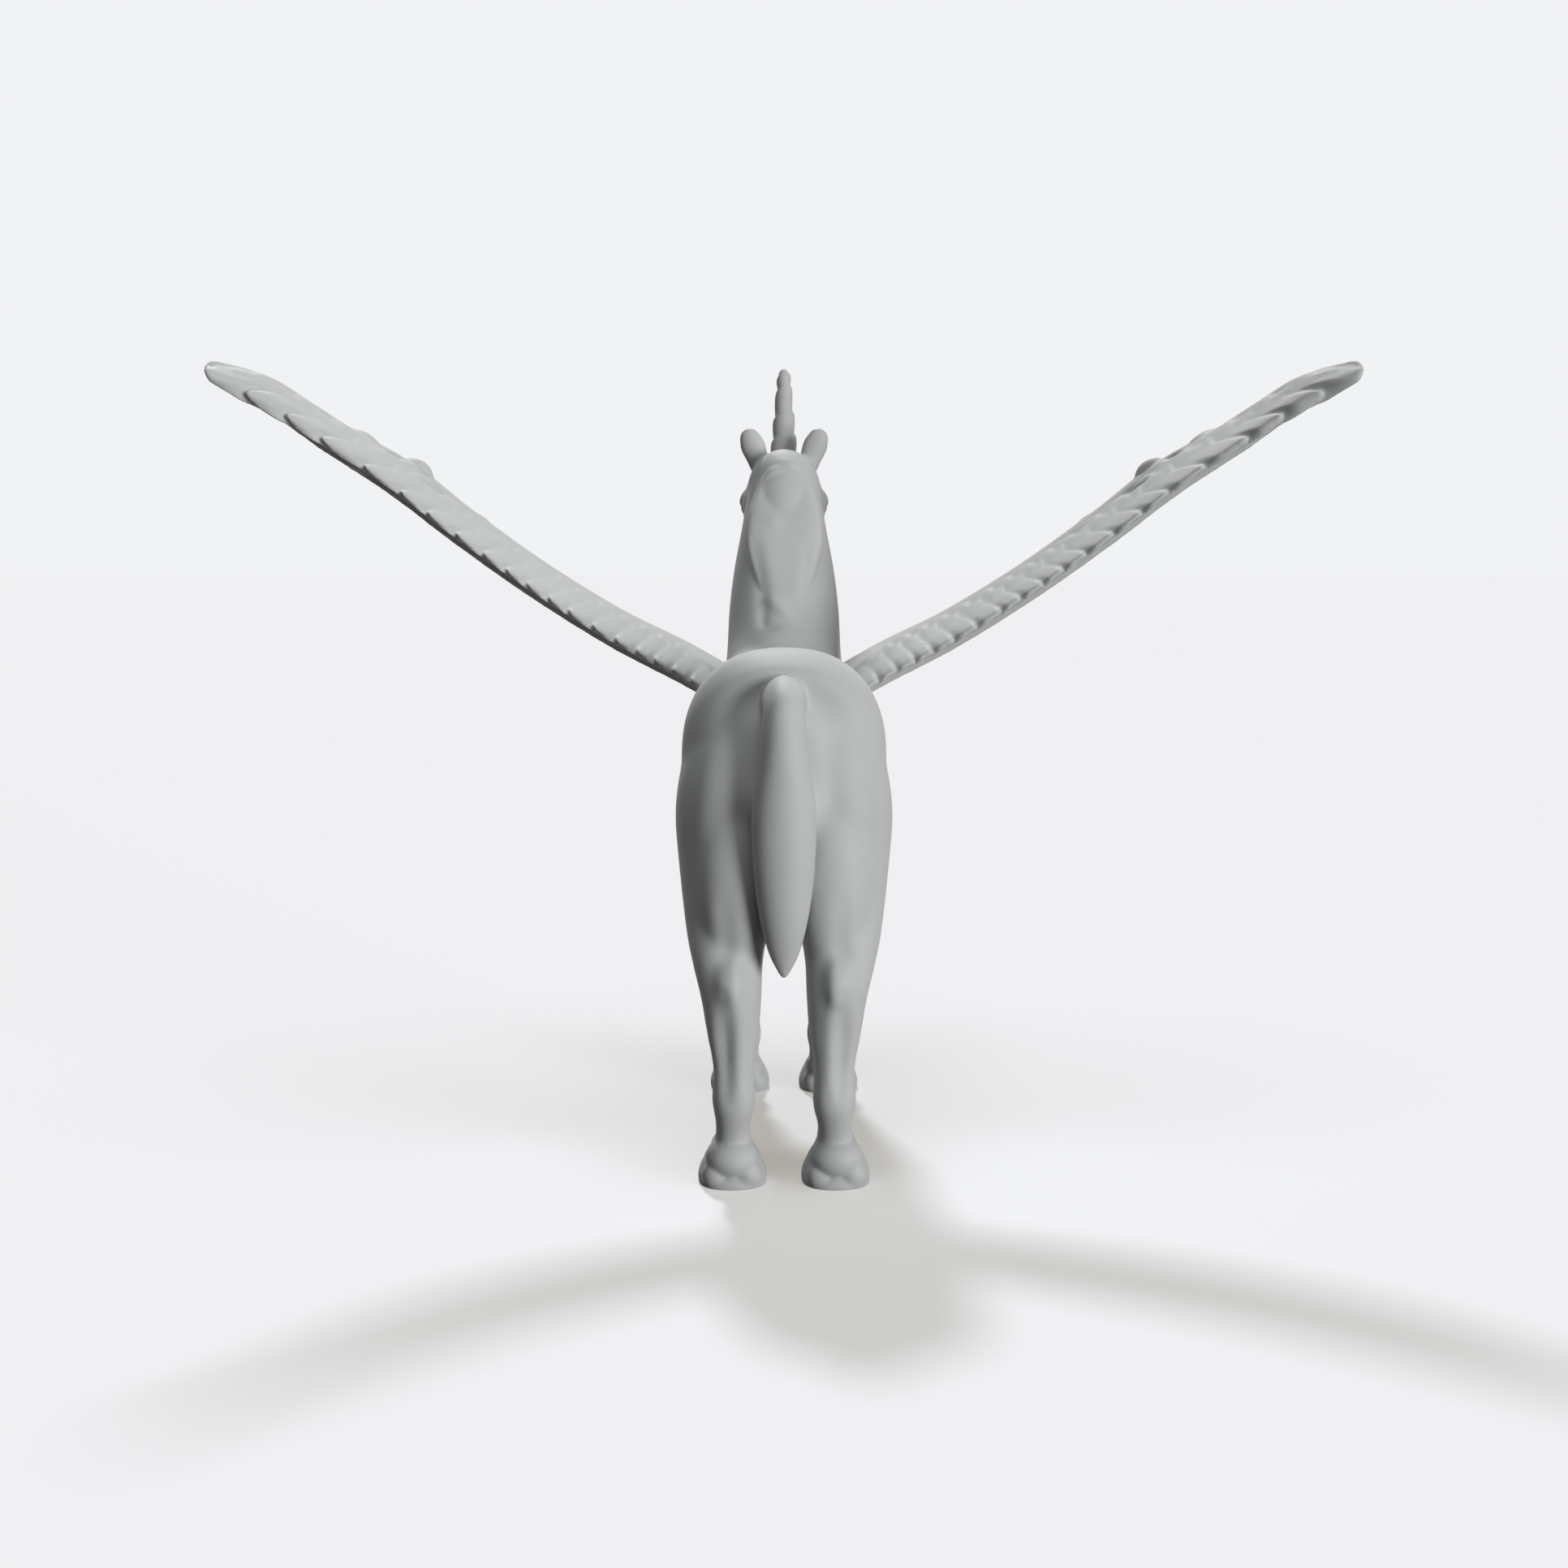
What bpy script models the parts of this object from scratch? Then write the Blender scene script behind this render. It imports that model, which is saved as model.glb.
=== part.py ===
"""Winged unicorn figurine, cast in one piece.

Metres, +Z up. The animal stands on four hooves at z = 0, faces -Y and is the same on both
sides of the plane x = 0. Each body mass is a loft through a few stations. The masses are
fused, softened and cut flat at the soles, as a sculptor blocks out and smooths a model.
"""

from math import cos, pi, radians, sin

import bmesh
import bpy
import numpy as np
from mathutils import Euler, Matrix, Vector
from mathutils.bvhtree import BVHTree

# Trunk
CROUP_TOP = 0.0945
BACK_TOP = 0.0892
WITHERS_TOP = 0.0945
BELLY_BOTTOM = 0.0500
FLANK_BOTTOM = 0.0560
HIP_HALF_WIDTH = 0.0192
BARREL_HALF_WIDTH = 0.0178
CHEST_HALF_WIDTH = 0.0140
BUTTOCK_Y = 0.0400
CHEST_Y = -0.0470

# Where the hooves stand
TRACK_HALF = 0.0092
REAR_HOOF_Y = 0.0335
FRONT_HOOF_Y = -0.0335

# Hoof
HOOF_HALF_WIDTH = 0.0060
HOOF_HALF_LENGTH = 0.0063
HOOF_HEIGHT = 0.0080
HEEL_RADIUS = 0.0027

# Hind leg
REAR_PASTERN_Z = 0.0112
REAR_FETLOCK_Z = 0.0160
HOCK_Z = 0.0350
GASKIN_Z = 0.0460
STIFLE_Z = 0.0560
REAR_PASTERN_HALF = 0.0031
REAR_FETLOCK_HALF = 0.0039
REAR_CANNON_HALF = 0.0037
HOCK_HALF = 0.0054
GASKIN_HALF = 0.0073

# Front leg
FRONT_PASTERN_Z = 0.0092
FRONT_FETLOCK_Z = 0.0128
KNEE_Z = 0.0285
ELBOW_Z = 0.0500
FRONT_PASTERN_HALF = 0.0041
FRONT_FETLOCK_HALF = 0.0046
FRONT_CANNON_HALF = 0.0037
KNEE_HALF = 0.0044
FOREARM_HALF = 0.0056

# Neck and head
POLL_Y = -0.0500
POLL_TOP = 0.1326
NECK_BASE_HALF = 0.0116
NECK_TOP_HALF = 0.0082
HEAD_LENGTH = 0.0370
HEAD_SLOPE = radians(47)
BROW_HALF_WIDTH = 0.0090
MUZZLE_HALF_WIDTH = 0.0043
EAR_LENGTH = 0.0093
EAR_HALF_WIDTH = 0.0024
EAR_SPREAD = radians(21)
EYE_RADIUS = 0.0014

# Horn
HORN_LENGTH = 0.0268
HORN_BASE_RADIUS = 0.0033
HORN_TIP_RADIUS = 0.0012
HORN_LEDGES = (-0.12, 0.05, 0.22, 0.40, 0.59, 0.825, 0.935, 1.05)
HORN_RIDGE = 0.0007
HORN_UNEVENNESS = 0.6
HORN_LEAN = radians(18)

# Tail
TAIL_TOP = 0.0885
TAIL_TIP_Z = 0.0388
TAIL_HALF_WIDTH = 0.0055
TAIL_HALF_DEPTH = 0.0042

# Wings
WING_HALF_SPAN = 0.1063
WING_ROOT_X = 0.0100
WRIST_X = 0.0740
CREASES = (
    0.0140,
    0.0178,
    0.0212,
    0.0247,
    0.0280,
    0.0320,
    0.0363,
    0.0409,
    0.0445,
    0.0486,
    0.0524,
    0.0566,
    0.0617,
    0.0670,
    0.0718,
    0.0784,
    0.0862,
    0.0923,
    0.0994,
    0.1125,
)
CREASE_DEPTH = 0.0016
CREASE_SLANT = 0.0050
CREASE_RISE = 0.0017
TOP_RELIEF = 0.0006
UNDER_RELIEF = 0.0008
ROOT_SWEEP = 0.0040
TIP_SWEEP = 0.0230
TIP_ROUND = 0.0014
COVERT_STEP = 0.0005
COVERT_SCALLOP = 0.07
UPPER_UNDERCUT = 0.0009
LOWER_UNDERCUT = 0.0022
LOWER_LOBES = 0.30
FRONT_GAPS = (0.0006, 0.0014, 0.0018)
REAR_GAPS = (0.0, 0.0004, 0.0020)
WING_ARCH = 0.0012
ARM_HALF_THICKNESS = 0.0021
KNUCKLES = ((0.0245, 0.0020), (0.0375, 0.0022), (0.0590, 0.0018), (0.0734, 0.0025), (0.0818, 0.0017))
KNUCKLE_CHORD = 0.10
KNUCKLE_RISE = 0.62

# Fusing and finish
BODY_VOXEL = 0.0008
FINE_VOXEL = 0.00045
BODY_PASSES = 14
FINE_PASSES = 3
TRIANGLES = 10000
SOLE_BLOCK = (0.10, 0.20, 0.02)


def smooth_rows(rows, count):
    """The given rows of numbers, resampled on one smooth curve through them."""
    rows = np.array(rows, float)
    last = len(rows) - 1
    picked = []
    for step in np.linspace(0, last, count):
        index = min(int(step), last - 1)
        t = step - index
        before = rows[max(index - 1, 0)]
        start = rows[index]
        end = rows[index + 1]
        after = rows[min(index + 2, last)]
        linear = (end - before) * t
        square = (2 * before - 5 * start + 4 * end - after) * t**2
        cube = (3 * start - before - 3 * end + after) * t**3
        picked.append(start + 0.5 * (linear + square + cube))
    return np.array(picked)


def eased(value, low, high):
    """0 below low, 1 above high and a smooth rise between."""
    share = np.clip((value - low) / (high - low), 0, 1)
    return share * share * (3 - 2 * share)


def add_rings(bm, rings):
    """Skins closed rings of points, one after the other, and caps both ends."""
    loops = [[bm.verts.new(point) for point in ring] for ring in rings]
    sides = len(loops[0])
    for lower, upper in zip(loops, loops[1:]):
        for k in range(sides):
            bm.faces.new((lower[k], lower[(k + 1) % sides], upper[(k + 1) % sides], upper[k]))
    bm.faces.new(loops[0][::-1])
    bm.faces.new(loops[-1])


def add_loft(bm, stations, across=(1, 0, 0), count=24, sides=20, fullness=2.0):
    """A loft through stations (x, y, z, half width, half depth). The width lies along across."""
    rows = smooth_rows(stations, count)
    centres = rows[:, :3]
    forward = np.gradient(centres, axis=0)
    forward /= np.linalg.norm(forward, axis=1)[:, None]
    rings = []
    for centre, ahead, half_width, half_depth in zip(centres, forward, rows[:, 3], rows[:, 4]):
        wide = np.array(across, float) - ahead * np.dot(across, ahead)
        wide /= np.linalg.norm(wide)
        deep = np.cross(ahead, wide)
        ring = []
        for k in range(sides):
            angle = 2 * pi * k / sides
            over = np.sign(cos(angle)) * abs(cos(angle)) ** (2 / fullness)
            up = np.sign(sin(angle)) * abs(sin(angle)) ** (2 / fullness)
            ring.append(centre + wide * half_width * over + deep * half_depth * up)
        rings.append(ring)
    add_rings(bm, rings)


def add_ball(bm, centre, radii, turn=(0, 0, 0), bands=12, sides=20):
    """An ellipsoid muscle, joint or knob."""
    place = Matrix.LocRotScale(Vector(centre), Euler(turn), Vector(radii))
    rings = []
    for band in range(bands):
        polar = pi * (band + 0.5) / bands
        ring = []
        for k in range(sides):
            angle = 2 * pi * k / sides
            ring.append(place @ Vector((sin(polar) * cos(angle), sin(polar) * sin(angle), cos(polar))))
        rings.append(ring)
    add_rings(bm, rings)


def mirror_all(bm):
    """Adds the other side of everything in bm."""
    made = bmesh.ops.duplicate(bm, geom=bm.verts[:] + bm.edges[:] + bm.faces[:])["geom"]
    verts = [item for item in made if isinstance(item, bmesh.types.BMVert)]
    for vert in verts:
        vert.co.x = -vert.co.x
    bmesh.ops.reverse_faces(bm, faces=[item for item in made if isinstance(item, bmesh.types.BMFace)])


def trunk_station(y, top, bottom, half_width):
    """A station of the trunk, given by its top and bottom lines."""
    return (0, y, (top + bottom) / 2, half_width, (top - bottom) / 2)


def add_trunk(bm):
    """Rump, barrel and chest, from the buttocks to the breast."""
    stations = (
        trunk_station(BUTTOCK_Y, CROUP_TOP - 0.010, 0.068, 0.006),
        trunk_station(BUTTOCK_Y - 0.004, CROUP_TOP - 0.0045, 0.060, HIP_HALF_WIDTH - 0.006),
        trunk_station(BUTTOCK_Y - 0.011, CROUP_TOP - 0.001, FLANK_BOTTOM, HIP_HALF_WIDTH - 0.0015),
        trunk_station(BUTTOCK_Y - 0.020, CROUP_TOP, FLANK_BOTTOM, HIP_HALF_WIDTH - 0.001),
        trunk_station(BUTTOCK_Y - 0.031, CROUP_TOP - 0.003, FLANK_BOTTOM - 0.001, BARREL_HALF_WIDTH - 0.0005),
        trunk_station(-0.003, BACK_TOP, BELLY_BOTTOM + 0.001, BARREL_HALF_WIDTH),
        trunk_station(-0.016, BACK_TOP + 0.0015, BELLY_BOTTOM, BARREL_HALF_WIDTH - 0.0008),
        trunk_station(CHEST_Y + 0.020, WITHERS_TOP, BELLY_BOTTOM + 0.0005, CHEST_HALF_WIDTH + 0.001),
        trunk_station(CHEST_Y + 0.010, WITHERS_TOP - 0.003, BELLY_BOTTOM + 0.003, CHEST_HALF_WIDTH),
        trunk_station(CHEST_Y + 0.003, WITHERS_TOP - 0.010, BELLY_BOTTOM + 0.008, CHEST_HALF_WIDTH - 0.003),
        trunk_station(CHEST_Y, WITHERS_TOP - 0.017, BELLY_BOTTOM + 0.014, 0.006),
    )
    add_loft(bm, stations, count=40, sides=32, fullness=2.35)


def add_hind_leg(bm):
    """Thigh, gaskin, hock, cannon and pastern, without the hoof."""
    x = TRACK_HALF
    y = REAR_HOOF_Y
    stations = (
        (x - 0.0002, y + 0.0006, 0.0030, REAR_PASTERN_HALF + 0.0006, 0.0042),
        (x - 0.0002, y + 0.0014, HOOF_HEIGHT, REAR_PASTERN_HALF + 0.0003, 0.0036),
        (x - 0.0002, y + 0.0028, REAR_PASTERN_Z, REAR_PASTERN_HALF, 0.0032),
        (x - 0.0004, y + 0.0044, REAR_FETLOCK_Z, REAR_FETLOCK_HALF, 0.0040),
        (x - 0.0004, y + 0.0050, REAR_FETLOCK_Z + 0.006, REAR_CANNON_HALF, 0.0034),
        (x - 0.0003, y + 0.0052, HOCK_Z - 0.007, REAR_CANNON_HALF + 0.0009, 0.0038),
        (x, y + 0.0048, HOCK_Z, HOCK_HALF, 0.0055),
        (x + 0.0006, y + 0.0036, HOCK_Z + 0.0060, HOCK_HALF + 0.0009, 0.0053),
        (x + 0.0008, y - 0.0002, GASKIN_Z, GASKIN_HALF, 0.0078),
        (x + 0.0006, y - 0.0045, STIFLE_Z, GASKIN_HALF + 0.0015, 0.0122),
        (x + 0.0004, y - 0.0072, STIFLE_Z + 0.010, GASKIN_HALF + 0.0024, 0.0150),
        (x - 0.0004, y - 0.0085, STIFLE_Z + 0.019, GASKIN_HALF + 0.0015, 0.0142),
        (x - 0.0020, y - 0.0090, STIFLE_Z + 0.028, GASKIN_HALF - 0.0015, 0.0095),
    )
    add_loft(bm, stations, count=44, sides=24, fullness=2.1)
    point_of_hock = (x + 0.0002, y + 0.0092, HOCK_Z + 0.0030)
    add_ball(bm, point_of_hock, (0.0026, 0.0026, 0.0046), (radians(12), 0, 0))
    stifle = (x + 0.0020, y - 0.0150, STIFLE_Z + 0.007)
    add_ball(bm, stifle, (0.0058, 0.0052, 0.0090), (radians(-22), 0, 0))
    hamstring = (x - 0.0010, y + 0.0030, STIFLE_Z + 0.004)
    add_ball(bm, hamstring, (0.0072, 0.0082, 0.0180), (radians(-6), 0, 0))


def add_front_leg(bm):
    """Shoulder, forearm, knee, cannon and pastern, without the hoof."""
    x = TRACK_HALF
    y = FRONT_HOOF_Y
    stations = (
        (x, y + 0.0006, 0.0030, FRONT_PASTERN_HALF + 0.0002, 0.0042),
        (x, y + 0.0014, HOOF_HEIGHT - 0.001, FRONT_PASTERN_HALF, 0.0036),
        (x, y + 0.0024, FRONT_PASTERN_Z, FRONT_PASTERN_HALF, 0.0032),
        (x, y + 0.0036, FRONT_FETLOCK_Z, FRONT_FETLOCK_HALF, 0.0040),
        (x, y + 0.0038, FRONT_FETLOCK_Z + 0.005, FRONT_CANNON_HALF, 0.0034),
        (x, y + 0.0036, KNEE_Z - 0.005, FRONT_CANNON_HALF, 0.0034),
        (x, y + 0.0028, KNEE_Z, KNEE_HALF, 0.0045),
        (x, y + 0.0030, KNEE_Z + 0.005, KNEE_HALF - 0.0002, 0.0043),
        (x + 0.0002, y + 0.0034, (KNEE_Z + ELBOW_Z) / 2, FOREARM_HALF - 0.0006, 0.0056),
        (x + 0.0004, y + 0.0040, ELBOW_Z, FOREARM_HALF, 0.0082),
        (x + 0.0004, y + 0.0024, ELBOW_Z + 0.010, FOREARM_HALF + 0.0002, 0.0108),
        (x, y + 0.0020, ELBOW_Z + 0.022, FOREARM_HALF - 0.0004, 0.0104),
        (x - 0.0014, y + 0.0055, ELBOW_Z + 0.034, FOREARM_HALF - 0.0014, 0.0070),
    )
    add_loft(bm, stations, count=44, sides=22, fullness=2.1)
    add_ball(bm, (x + 0.0003, y + 0.0108, ELBOW_Z + 0.002), (0.0035, 0.0034, 0.0058))
    add_ball(bm, (x - 0.0022, y - 0.0070, ELBOW_Z + 0.015), (0.0060, 0.0062, 0.0105), (radians(10), 0, 0))
    add_ball(bm, (x + 0.0002, y + 0.0002, KNEE_Z), (0.0034, 0.0020, 0.0046))


def add_hoof(bm, y):
    """A bell-shaped hoof with two heel bulbs, its ground line at y."""
    x = TRACK_HALF
    wide = HOOF_HALF_WIDTH
    long = HOOF_HALF_LENGTH
    stations = (
        (x, y - 0.0007, -0.0014, wide - 0.0003, long - 0.0003),
        (x, y - 0.0007, 0.0000, wide, long),
        (x, y - 0.0006, 0.0018, wide + 0.0001, long),
        (x, y - 0.0002, 0.0038, wide - 0.0007, long - 0.0007),
        (x, y + 0.0006, 0.0060, wide - 0.0019, long - 0.0016),
        (x, y + 0.0013, HOOF_HEIGHT, wide - 0.0026, long - 0.0026),
        (x, y + 0.0015, HOOF_HEIGHT + 0.0008, wide - 0.0040, long - 0.0040),
    )
    add_loft(bm, stations, count=22, sides=28, fullness=2.2)
    add_ball(bm, (x, y + long * 0.42, 0.0054), (wide * 0.78, 0.0042, 0.0036), (radians(-20), 0, 0))
    for side in (-1, 1):
        heel = (x + side * wide * 0.46, y + long * 0.52, 0.0022)
        add_ball(bm, heel, (HEEL_RADIUS * 0.95, HEEL_RADIUS * 0.85, HEEL_RADIUS), (radians(-12), 0, 0))


def neck_stations():
    """Stations of the upright neck, from inside the chest to the poll."""
    return (
        (0, -0.0230, 0.0700, NECK_BASE_HALF, 0.0160),
        (0, -0.0300, 0.0800, NECK_BASE_HALF + 0.0008, 0.0176),
        (0, -0.0368, 0.0900, NECK_BASE_HALF + 0.0001, 0.0150),
        (0, -0.0404, 0.0990, NECK_BASE_HALF - 0.0003, 0.0136),
        (0, -0.0432, 0.1075, NECK_BASE_HALF - 0.0013, 0.0128),
        (0, POLL_Y + 0.0044, POLL_TOP - 0.0170, NECK_TOP_HALF + 0.0006, 0.0118),
        (0, POLL_Y + 0.0018, POLL_TOP - 0.0110, NECK_TOP_HALF - 0.0004, 0.0096),
        (0, POLL_Y + 0.0002, POLL_TOP - 0.0085, NECK_TOP_HALF - 0.0012, 0.0070),
    )


def add_neck(bm):
    """The neck as a thick, slightly arched loft with a rounded poll."""
    add_loft(bm, neck_stations(), count=36, sides=28, fullness=2.1)
    poll = (0, POLL_Y - 0.0002, POLL_TOP - 0.0090)
    add_ball(bm, poll, (NECK_TOP_HALF - 0.0004, 0.0096, 0.0090))


def crest_point(height):
    """The back edge of the neck at a height above the ground."""
    rows = smooth_rows(neck_stations(), 120)
    row = rows[np.argmin(np.abs(rows[:, 2] - height))]
    return row[1] + row[4] * 0.96


def head_point(along, out=0.0, below=0.0):
    """A point of the head: along its axis from the poll, out to +X, and below the axis."""
    start_z = POLL_TOP - 0.0075
    y = POLL_Y - 0.0010 - along * cos(HEAD_SLOPE) + below * sin(HEAD_SLOPE)
    z = start_z - along * sin(HEAD_SLOPE) - below * cos(HEAD_SLOPE)
    return (out, y, z)


def add_head(bm):
    """Skull, jaw and muzzle. The brow, cheek and nostril bulges are mirrored."""
    end = HEAD_LENGTH
    stations = (
        (*head_point(-0.001), BROW_HALF_WIDTH - 0.0018, 0.0058),
        (*head_point(0.004), BROW_HALF_WIDTH - 0.0004, 0.0074),
        (*head_point(0.010, 0, 0.0004), BROW_HALF_WIDTH - 0.0005, 0.0080),
        (*head_point(0.017), BROW_HALF_WIDTH - 0.0022, 0.0066),
        (*head_point(0.024, 0, -0.0004), MUZZLE_HALF_WIDTH + 0.0003, 0.0050),
        (*head_point(end - 0.008, 0, -0.0002), MUZZLE_HALF_WIDTH - 0.0004, 0.0041),
        (*head_point(end - 0.004), MUZZLE_HALF_WIDTH, 0.0041),
        (*head_point(end - 0.001), MUZZLE_HALF_WIDTH - 0.0006, 0.0034),
        (*head_point(end), MUZZLE_HALF_WIDTH - 0.0020, 0.0020),
    )
    add_loft(bm, stations, count=34, sides=26, fullness=2.2)
    chin = head_point(end - 0.0056, 0, 0.0030)
    add_ball(bm, chin, (MUZZLE_HALF_WIDTH - 0.0012, 0.0026, 0.0019), (-HEAD_SLOPE / 2, 0, 0))
    for side in (-1, 1):
        jowl = head_point(0.0086, side * (BROW_HALF_WIDTH - 0.0042), 0.0046)
        add_ball(bm, jowl, (0.0039, 0.0068, 0.0068))
        brow = head_point(0.0080, side * (BROW_HALF_WIDTH - 0.0020), -0.0034)
        add_ball(bm, brow, (0.0028, 0.0040, 0.0024), (HEAD_SLOPE, 0, 0))
        nostril = head_point(end - 0.0035, side * (MUZZLE_HALF_WIDTH - 0.0012), -0.0012)
        add_ball(bm, nostril, (0.0017, 0.0026, 0.0019), (HEAD_SLOPE, 0, 0))


def add_eye(bm):
    """The +X eyeball, half sunk under the brow."""
    centre = head_point(0.0105, BROW_HALF_WIDTH - 0.0017, -0.0018)
    add_ball(bm, centre, (EYE_RADIUS * 0.8, EYE_RADIUS, EYE_RADIUS))


def add_tail(bm):
    """A smooth spindle that leaves the croup and hangs against the thighs."""
    y = BUTTOCK_Y
    wide = TAIL_HALF_WIDTH
    deep = TAIL_HALF_DEPTH
    fall = TAIL_TOP - TAIL_TIP_Z
    stations = (
        (0, y - 0.0130, TAIL_TOP - 0.0030, 0.0040, 0.0040),
        (0, y - 0.0070, TAIL_TOP - 0.0026, 0.0040, 0.0044),
        (0, y - 0.0015, TAIL_TOP - 0.0042, 0.0039, 0.0048),
        (0, y + 0.0010, TAIL_TOP - 0.0074, 0.0040, 0.0050),
        (0, y + 0.0026, TAIL_TOP - 0.0120, 0.0044, 0.0048),
        (0, y + 0.0036, TAIL_TOP - fall * 0.42, wide, deep + 0.0004),
        (0, y + 0.0040, TAIL_TOP - fall * 0.60, wide - 0.0002, deep),
        (0, y + 0.0036, TAIL_TOP - fall * 0.77, wide - 0.0012, deep - 0.0006),
        (0, y + 0.0028, TAIL_TOP - fall * 0.90, wide - 0.0027, deep - 0.0018),
        (0, y + 0.0024, TAIL_TIP_Z + 0.0012, 0.0011, 0.0011),
        (0, y + 0.0024, TAIL_TIP_Z, 0.0003, 0.0003),
    )
    add_loft(bm, stations, count=48, sides=24)


def add_mane(bm):
    """A raised band down the crest of the neck, widest at two thirds of its height."""
    stations = []
    for down, half_width, half_depth in (
        (0.0050, 0.0036, 0.0034),
        (0.0095, 0.0060, 0.0030),
        (0.0150, 0.0076, 0.0028),
        (0.0200, 0.0078, 0.0028),
        (0.0245, 0.0068, 0.0029),
        (0.0290, 0.0054, 0.0028),
        (0.0320, 0.0040, 0.0022),
    ):
        height = POLL_TOP - down
        stations.append((0, crest_point(height) - 0.0012, height, half_width, half_depth))
    add_loft(bm, stations, count=26, sides=22, fullness=2.6)


def ear_frame():
    """Foot and direction of the +X ear."""
    foot = Vector((0.0046, POLL_Y - 0.0030, POLL_TOP - 0.0045))
    way = Vector((sin(EAR_SPREAD), 0, cos(EAR_SPREAD)))
    return foot, way


def add_ear(bm):
    """A blunt paddle that leans outwards."""
    foot, way = ear_frame()
    wide = EAR_HALF_WIDTH
    stations = []
    for share, half_width, half_depth in (
        (0.00, wide - 0.0003, 0.0019),
        (0.30, wide - 0.0001, 0.0018),
        (0.60, wide + 0.0002, 0.0016),
        (0.82, wide - 0.0003, 0.0013),
        (0.94, wide - 0.0009, 0.0009),
        (1.00, 0.0004, 0.0004),
    ):
        centre = foot + way * EAR_LENGTH * share
        stations.append((*centre, half_width, half_depth))
    add_loft(bm, stations, count=20, sides=18)


def horn_frame():
    """Foot and direction of the horn."""
    foot = Vector(head_point(0.0050, 0, -0.0050))
    way = Vector((0, -sin(HORN_LEAN), cos(HORN_LEAN)))
    return foot, way


def add_horn(bm, count=66, sides=14):
    """A tapering cone with one raised spiral, like stacked cups whose rims are the ledges."""
    foot, way = horn_frame()
    wide = Vector((1, 0, 0))
    deep = way.cross(wide)
    rings = []
    for share in np.linspace(0, 1, count + 1):
        plain = HORN_BASE_RADIUS + (HORN_TIP_RADIUS - HORN_BASE_RADIUS) * share
        blunt = min(1.0, (1.0001 - share) / 0.05) ** 0.5
        cups = np.interp(share, HORN_LEDGES, range(len(HORN_LEDGES)))
        ring = []
        for k in range(sides):
            angle = 2 * pi * k / sides
            turn = (angle - pi / 2 + HORN_UNEVENNESS * cos(angle)) / (2 * pi)
            phase = (cups - turn) % 1.0
            ridge = HORN_RIDGE * (eased(phase, -0.2, 0.8) - 0.15 * eased(phase, 0.9, 1.0) - 0.55)
            radius = (plain + ridge * (1 - 0.4 * share)) * blunt
            place = foot + way * HORN_LENGTH * share
            ring.append(place + wide * radius * cos(angle) + deep * radius * sin(angle))
        rings.append(ring)
    add_rings(bm, rings)


# The wing's front and rear edges: x, y of the front, z of the front, y of the rear, z of the rear
WING_EDGES = (
    (WING_ROOT_X - 0.0050, -0.0190, 0.0834, 0.0004, 0.0796),
    (WING_ROOT_X, -0.0200, 0.0860, 0.0010, 0.0824),
    (0.0200, -0.0225, 0.0914, 0.0020, 0.0884),
    (0.0330, -0.0240, 0.0979, 0.0022, 0.0954),
    (0.0480, -0.0250, 0.1070, 0.0020, 0.1049),
    (0.0620, -0.0250, 0.1171, 0.0024, 0.1149),
    (WRIST_X, -0.0228, 0.1266, 0.0034, 0.1241),
    (WING_HALF_SPAN - 0.0203, -0.0150, 0.1344, 0.0050, 0.1320),
    (WING_HALF_SPAN - 0.0093, -0.0050, 0.1415, 0.0068, 0.1388),
    (WING_HALF_SPAN - 0.0010, 0.0028, 0.1442, 0.0090, 0.1430),
    (WING_HALF_SPAN, 0.0034, 0.1444, 0.0088, 0.1434),
)


def wing_point(x, chord):
    """A point of the wing's middle surface: chord 0 is the front edge and 1 the rear edge."""
    rows = smooth_rows(WING_EDGES, 400)
    row = rows[np.argmin(np.abs(rows[:, 0] - x))]
    front = np.array((row[0], row[1], row[2]))
    rear = np.array((row[0], row[3], row[4]))
    arch = np.array((0, 0, WING_ARCH * 4 * chord * (1 - chord)))
    return front + (rear - front) * chord + arch


def feather_number(x):
    """Counts the feathers outwards. Each whole number is the crease at a feather's outer edge."""
    return np.interp(x, CREASES, range(len(CREASES)))


def standing(number):
    """How far a feather stands out, from its tucked inner side to its raised outer edge."""
    phase = number % 1.0
    return (0.20 + 0.80 * eased(phase, 0.0, 0.60)) * (1 - eased(phase, 0.84, 1.0))


def sweep_at(x):
    """How far outwards a feather runs between the wing's front and rear edge."""
    return ROOT_SWEEP + (TIP_SWEEP - ROOT_SWEEP) * np.clip(x / WING_HALF_SPAN, 0, 1) ** 2.2


def covert_height(x, chord, row_end, shift):
    """A row of short feathers whose scalloped tips end at the chord row_end."""
    number = feather_number(x + sweep_at(x) * (row_end - chord)) + shift
    scallop = np.sin(pi * (number % 1.0)) ** 0.7
    end = row_end + COVERT_SCALLOP * (scallop - 0.5)
    ridge = 0.5 * (1 - standing(number)) * eased(chord, row_end - 0.30, row_end - 0.05)
    return COVERT_STEP * (1 - ridge) * (1 - eased(chord, end - 0.03, end + 0.03))


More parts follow.
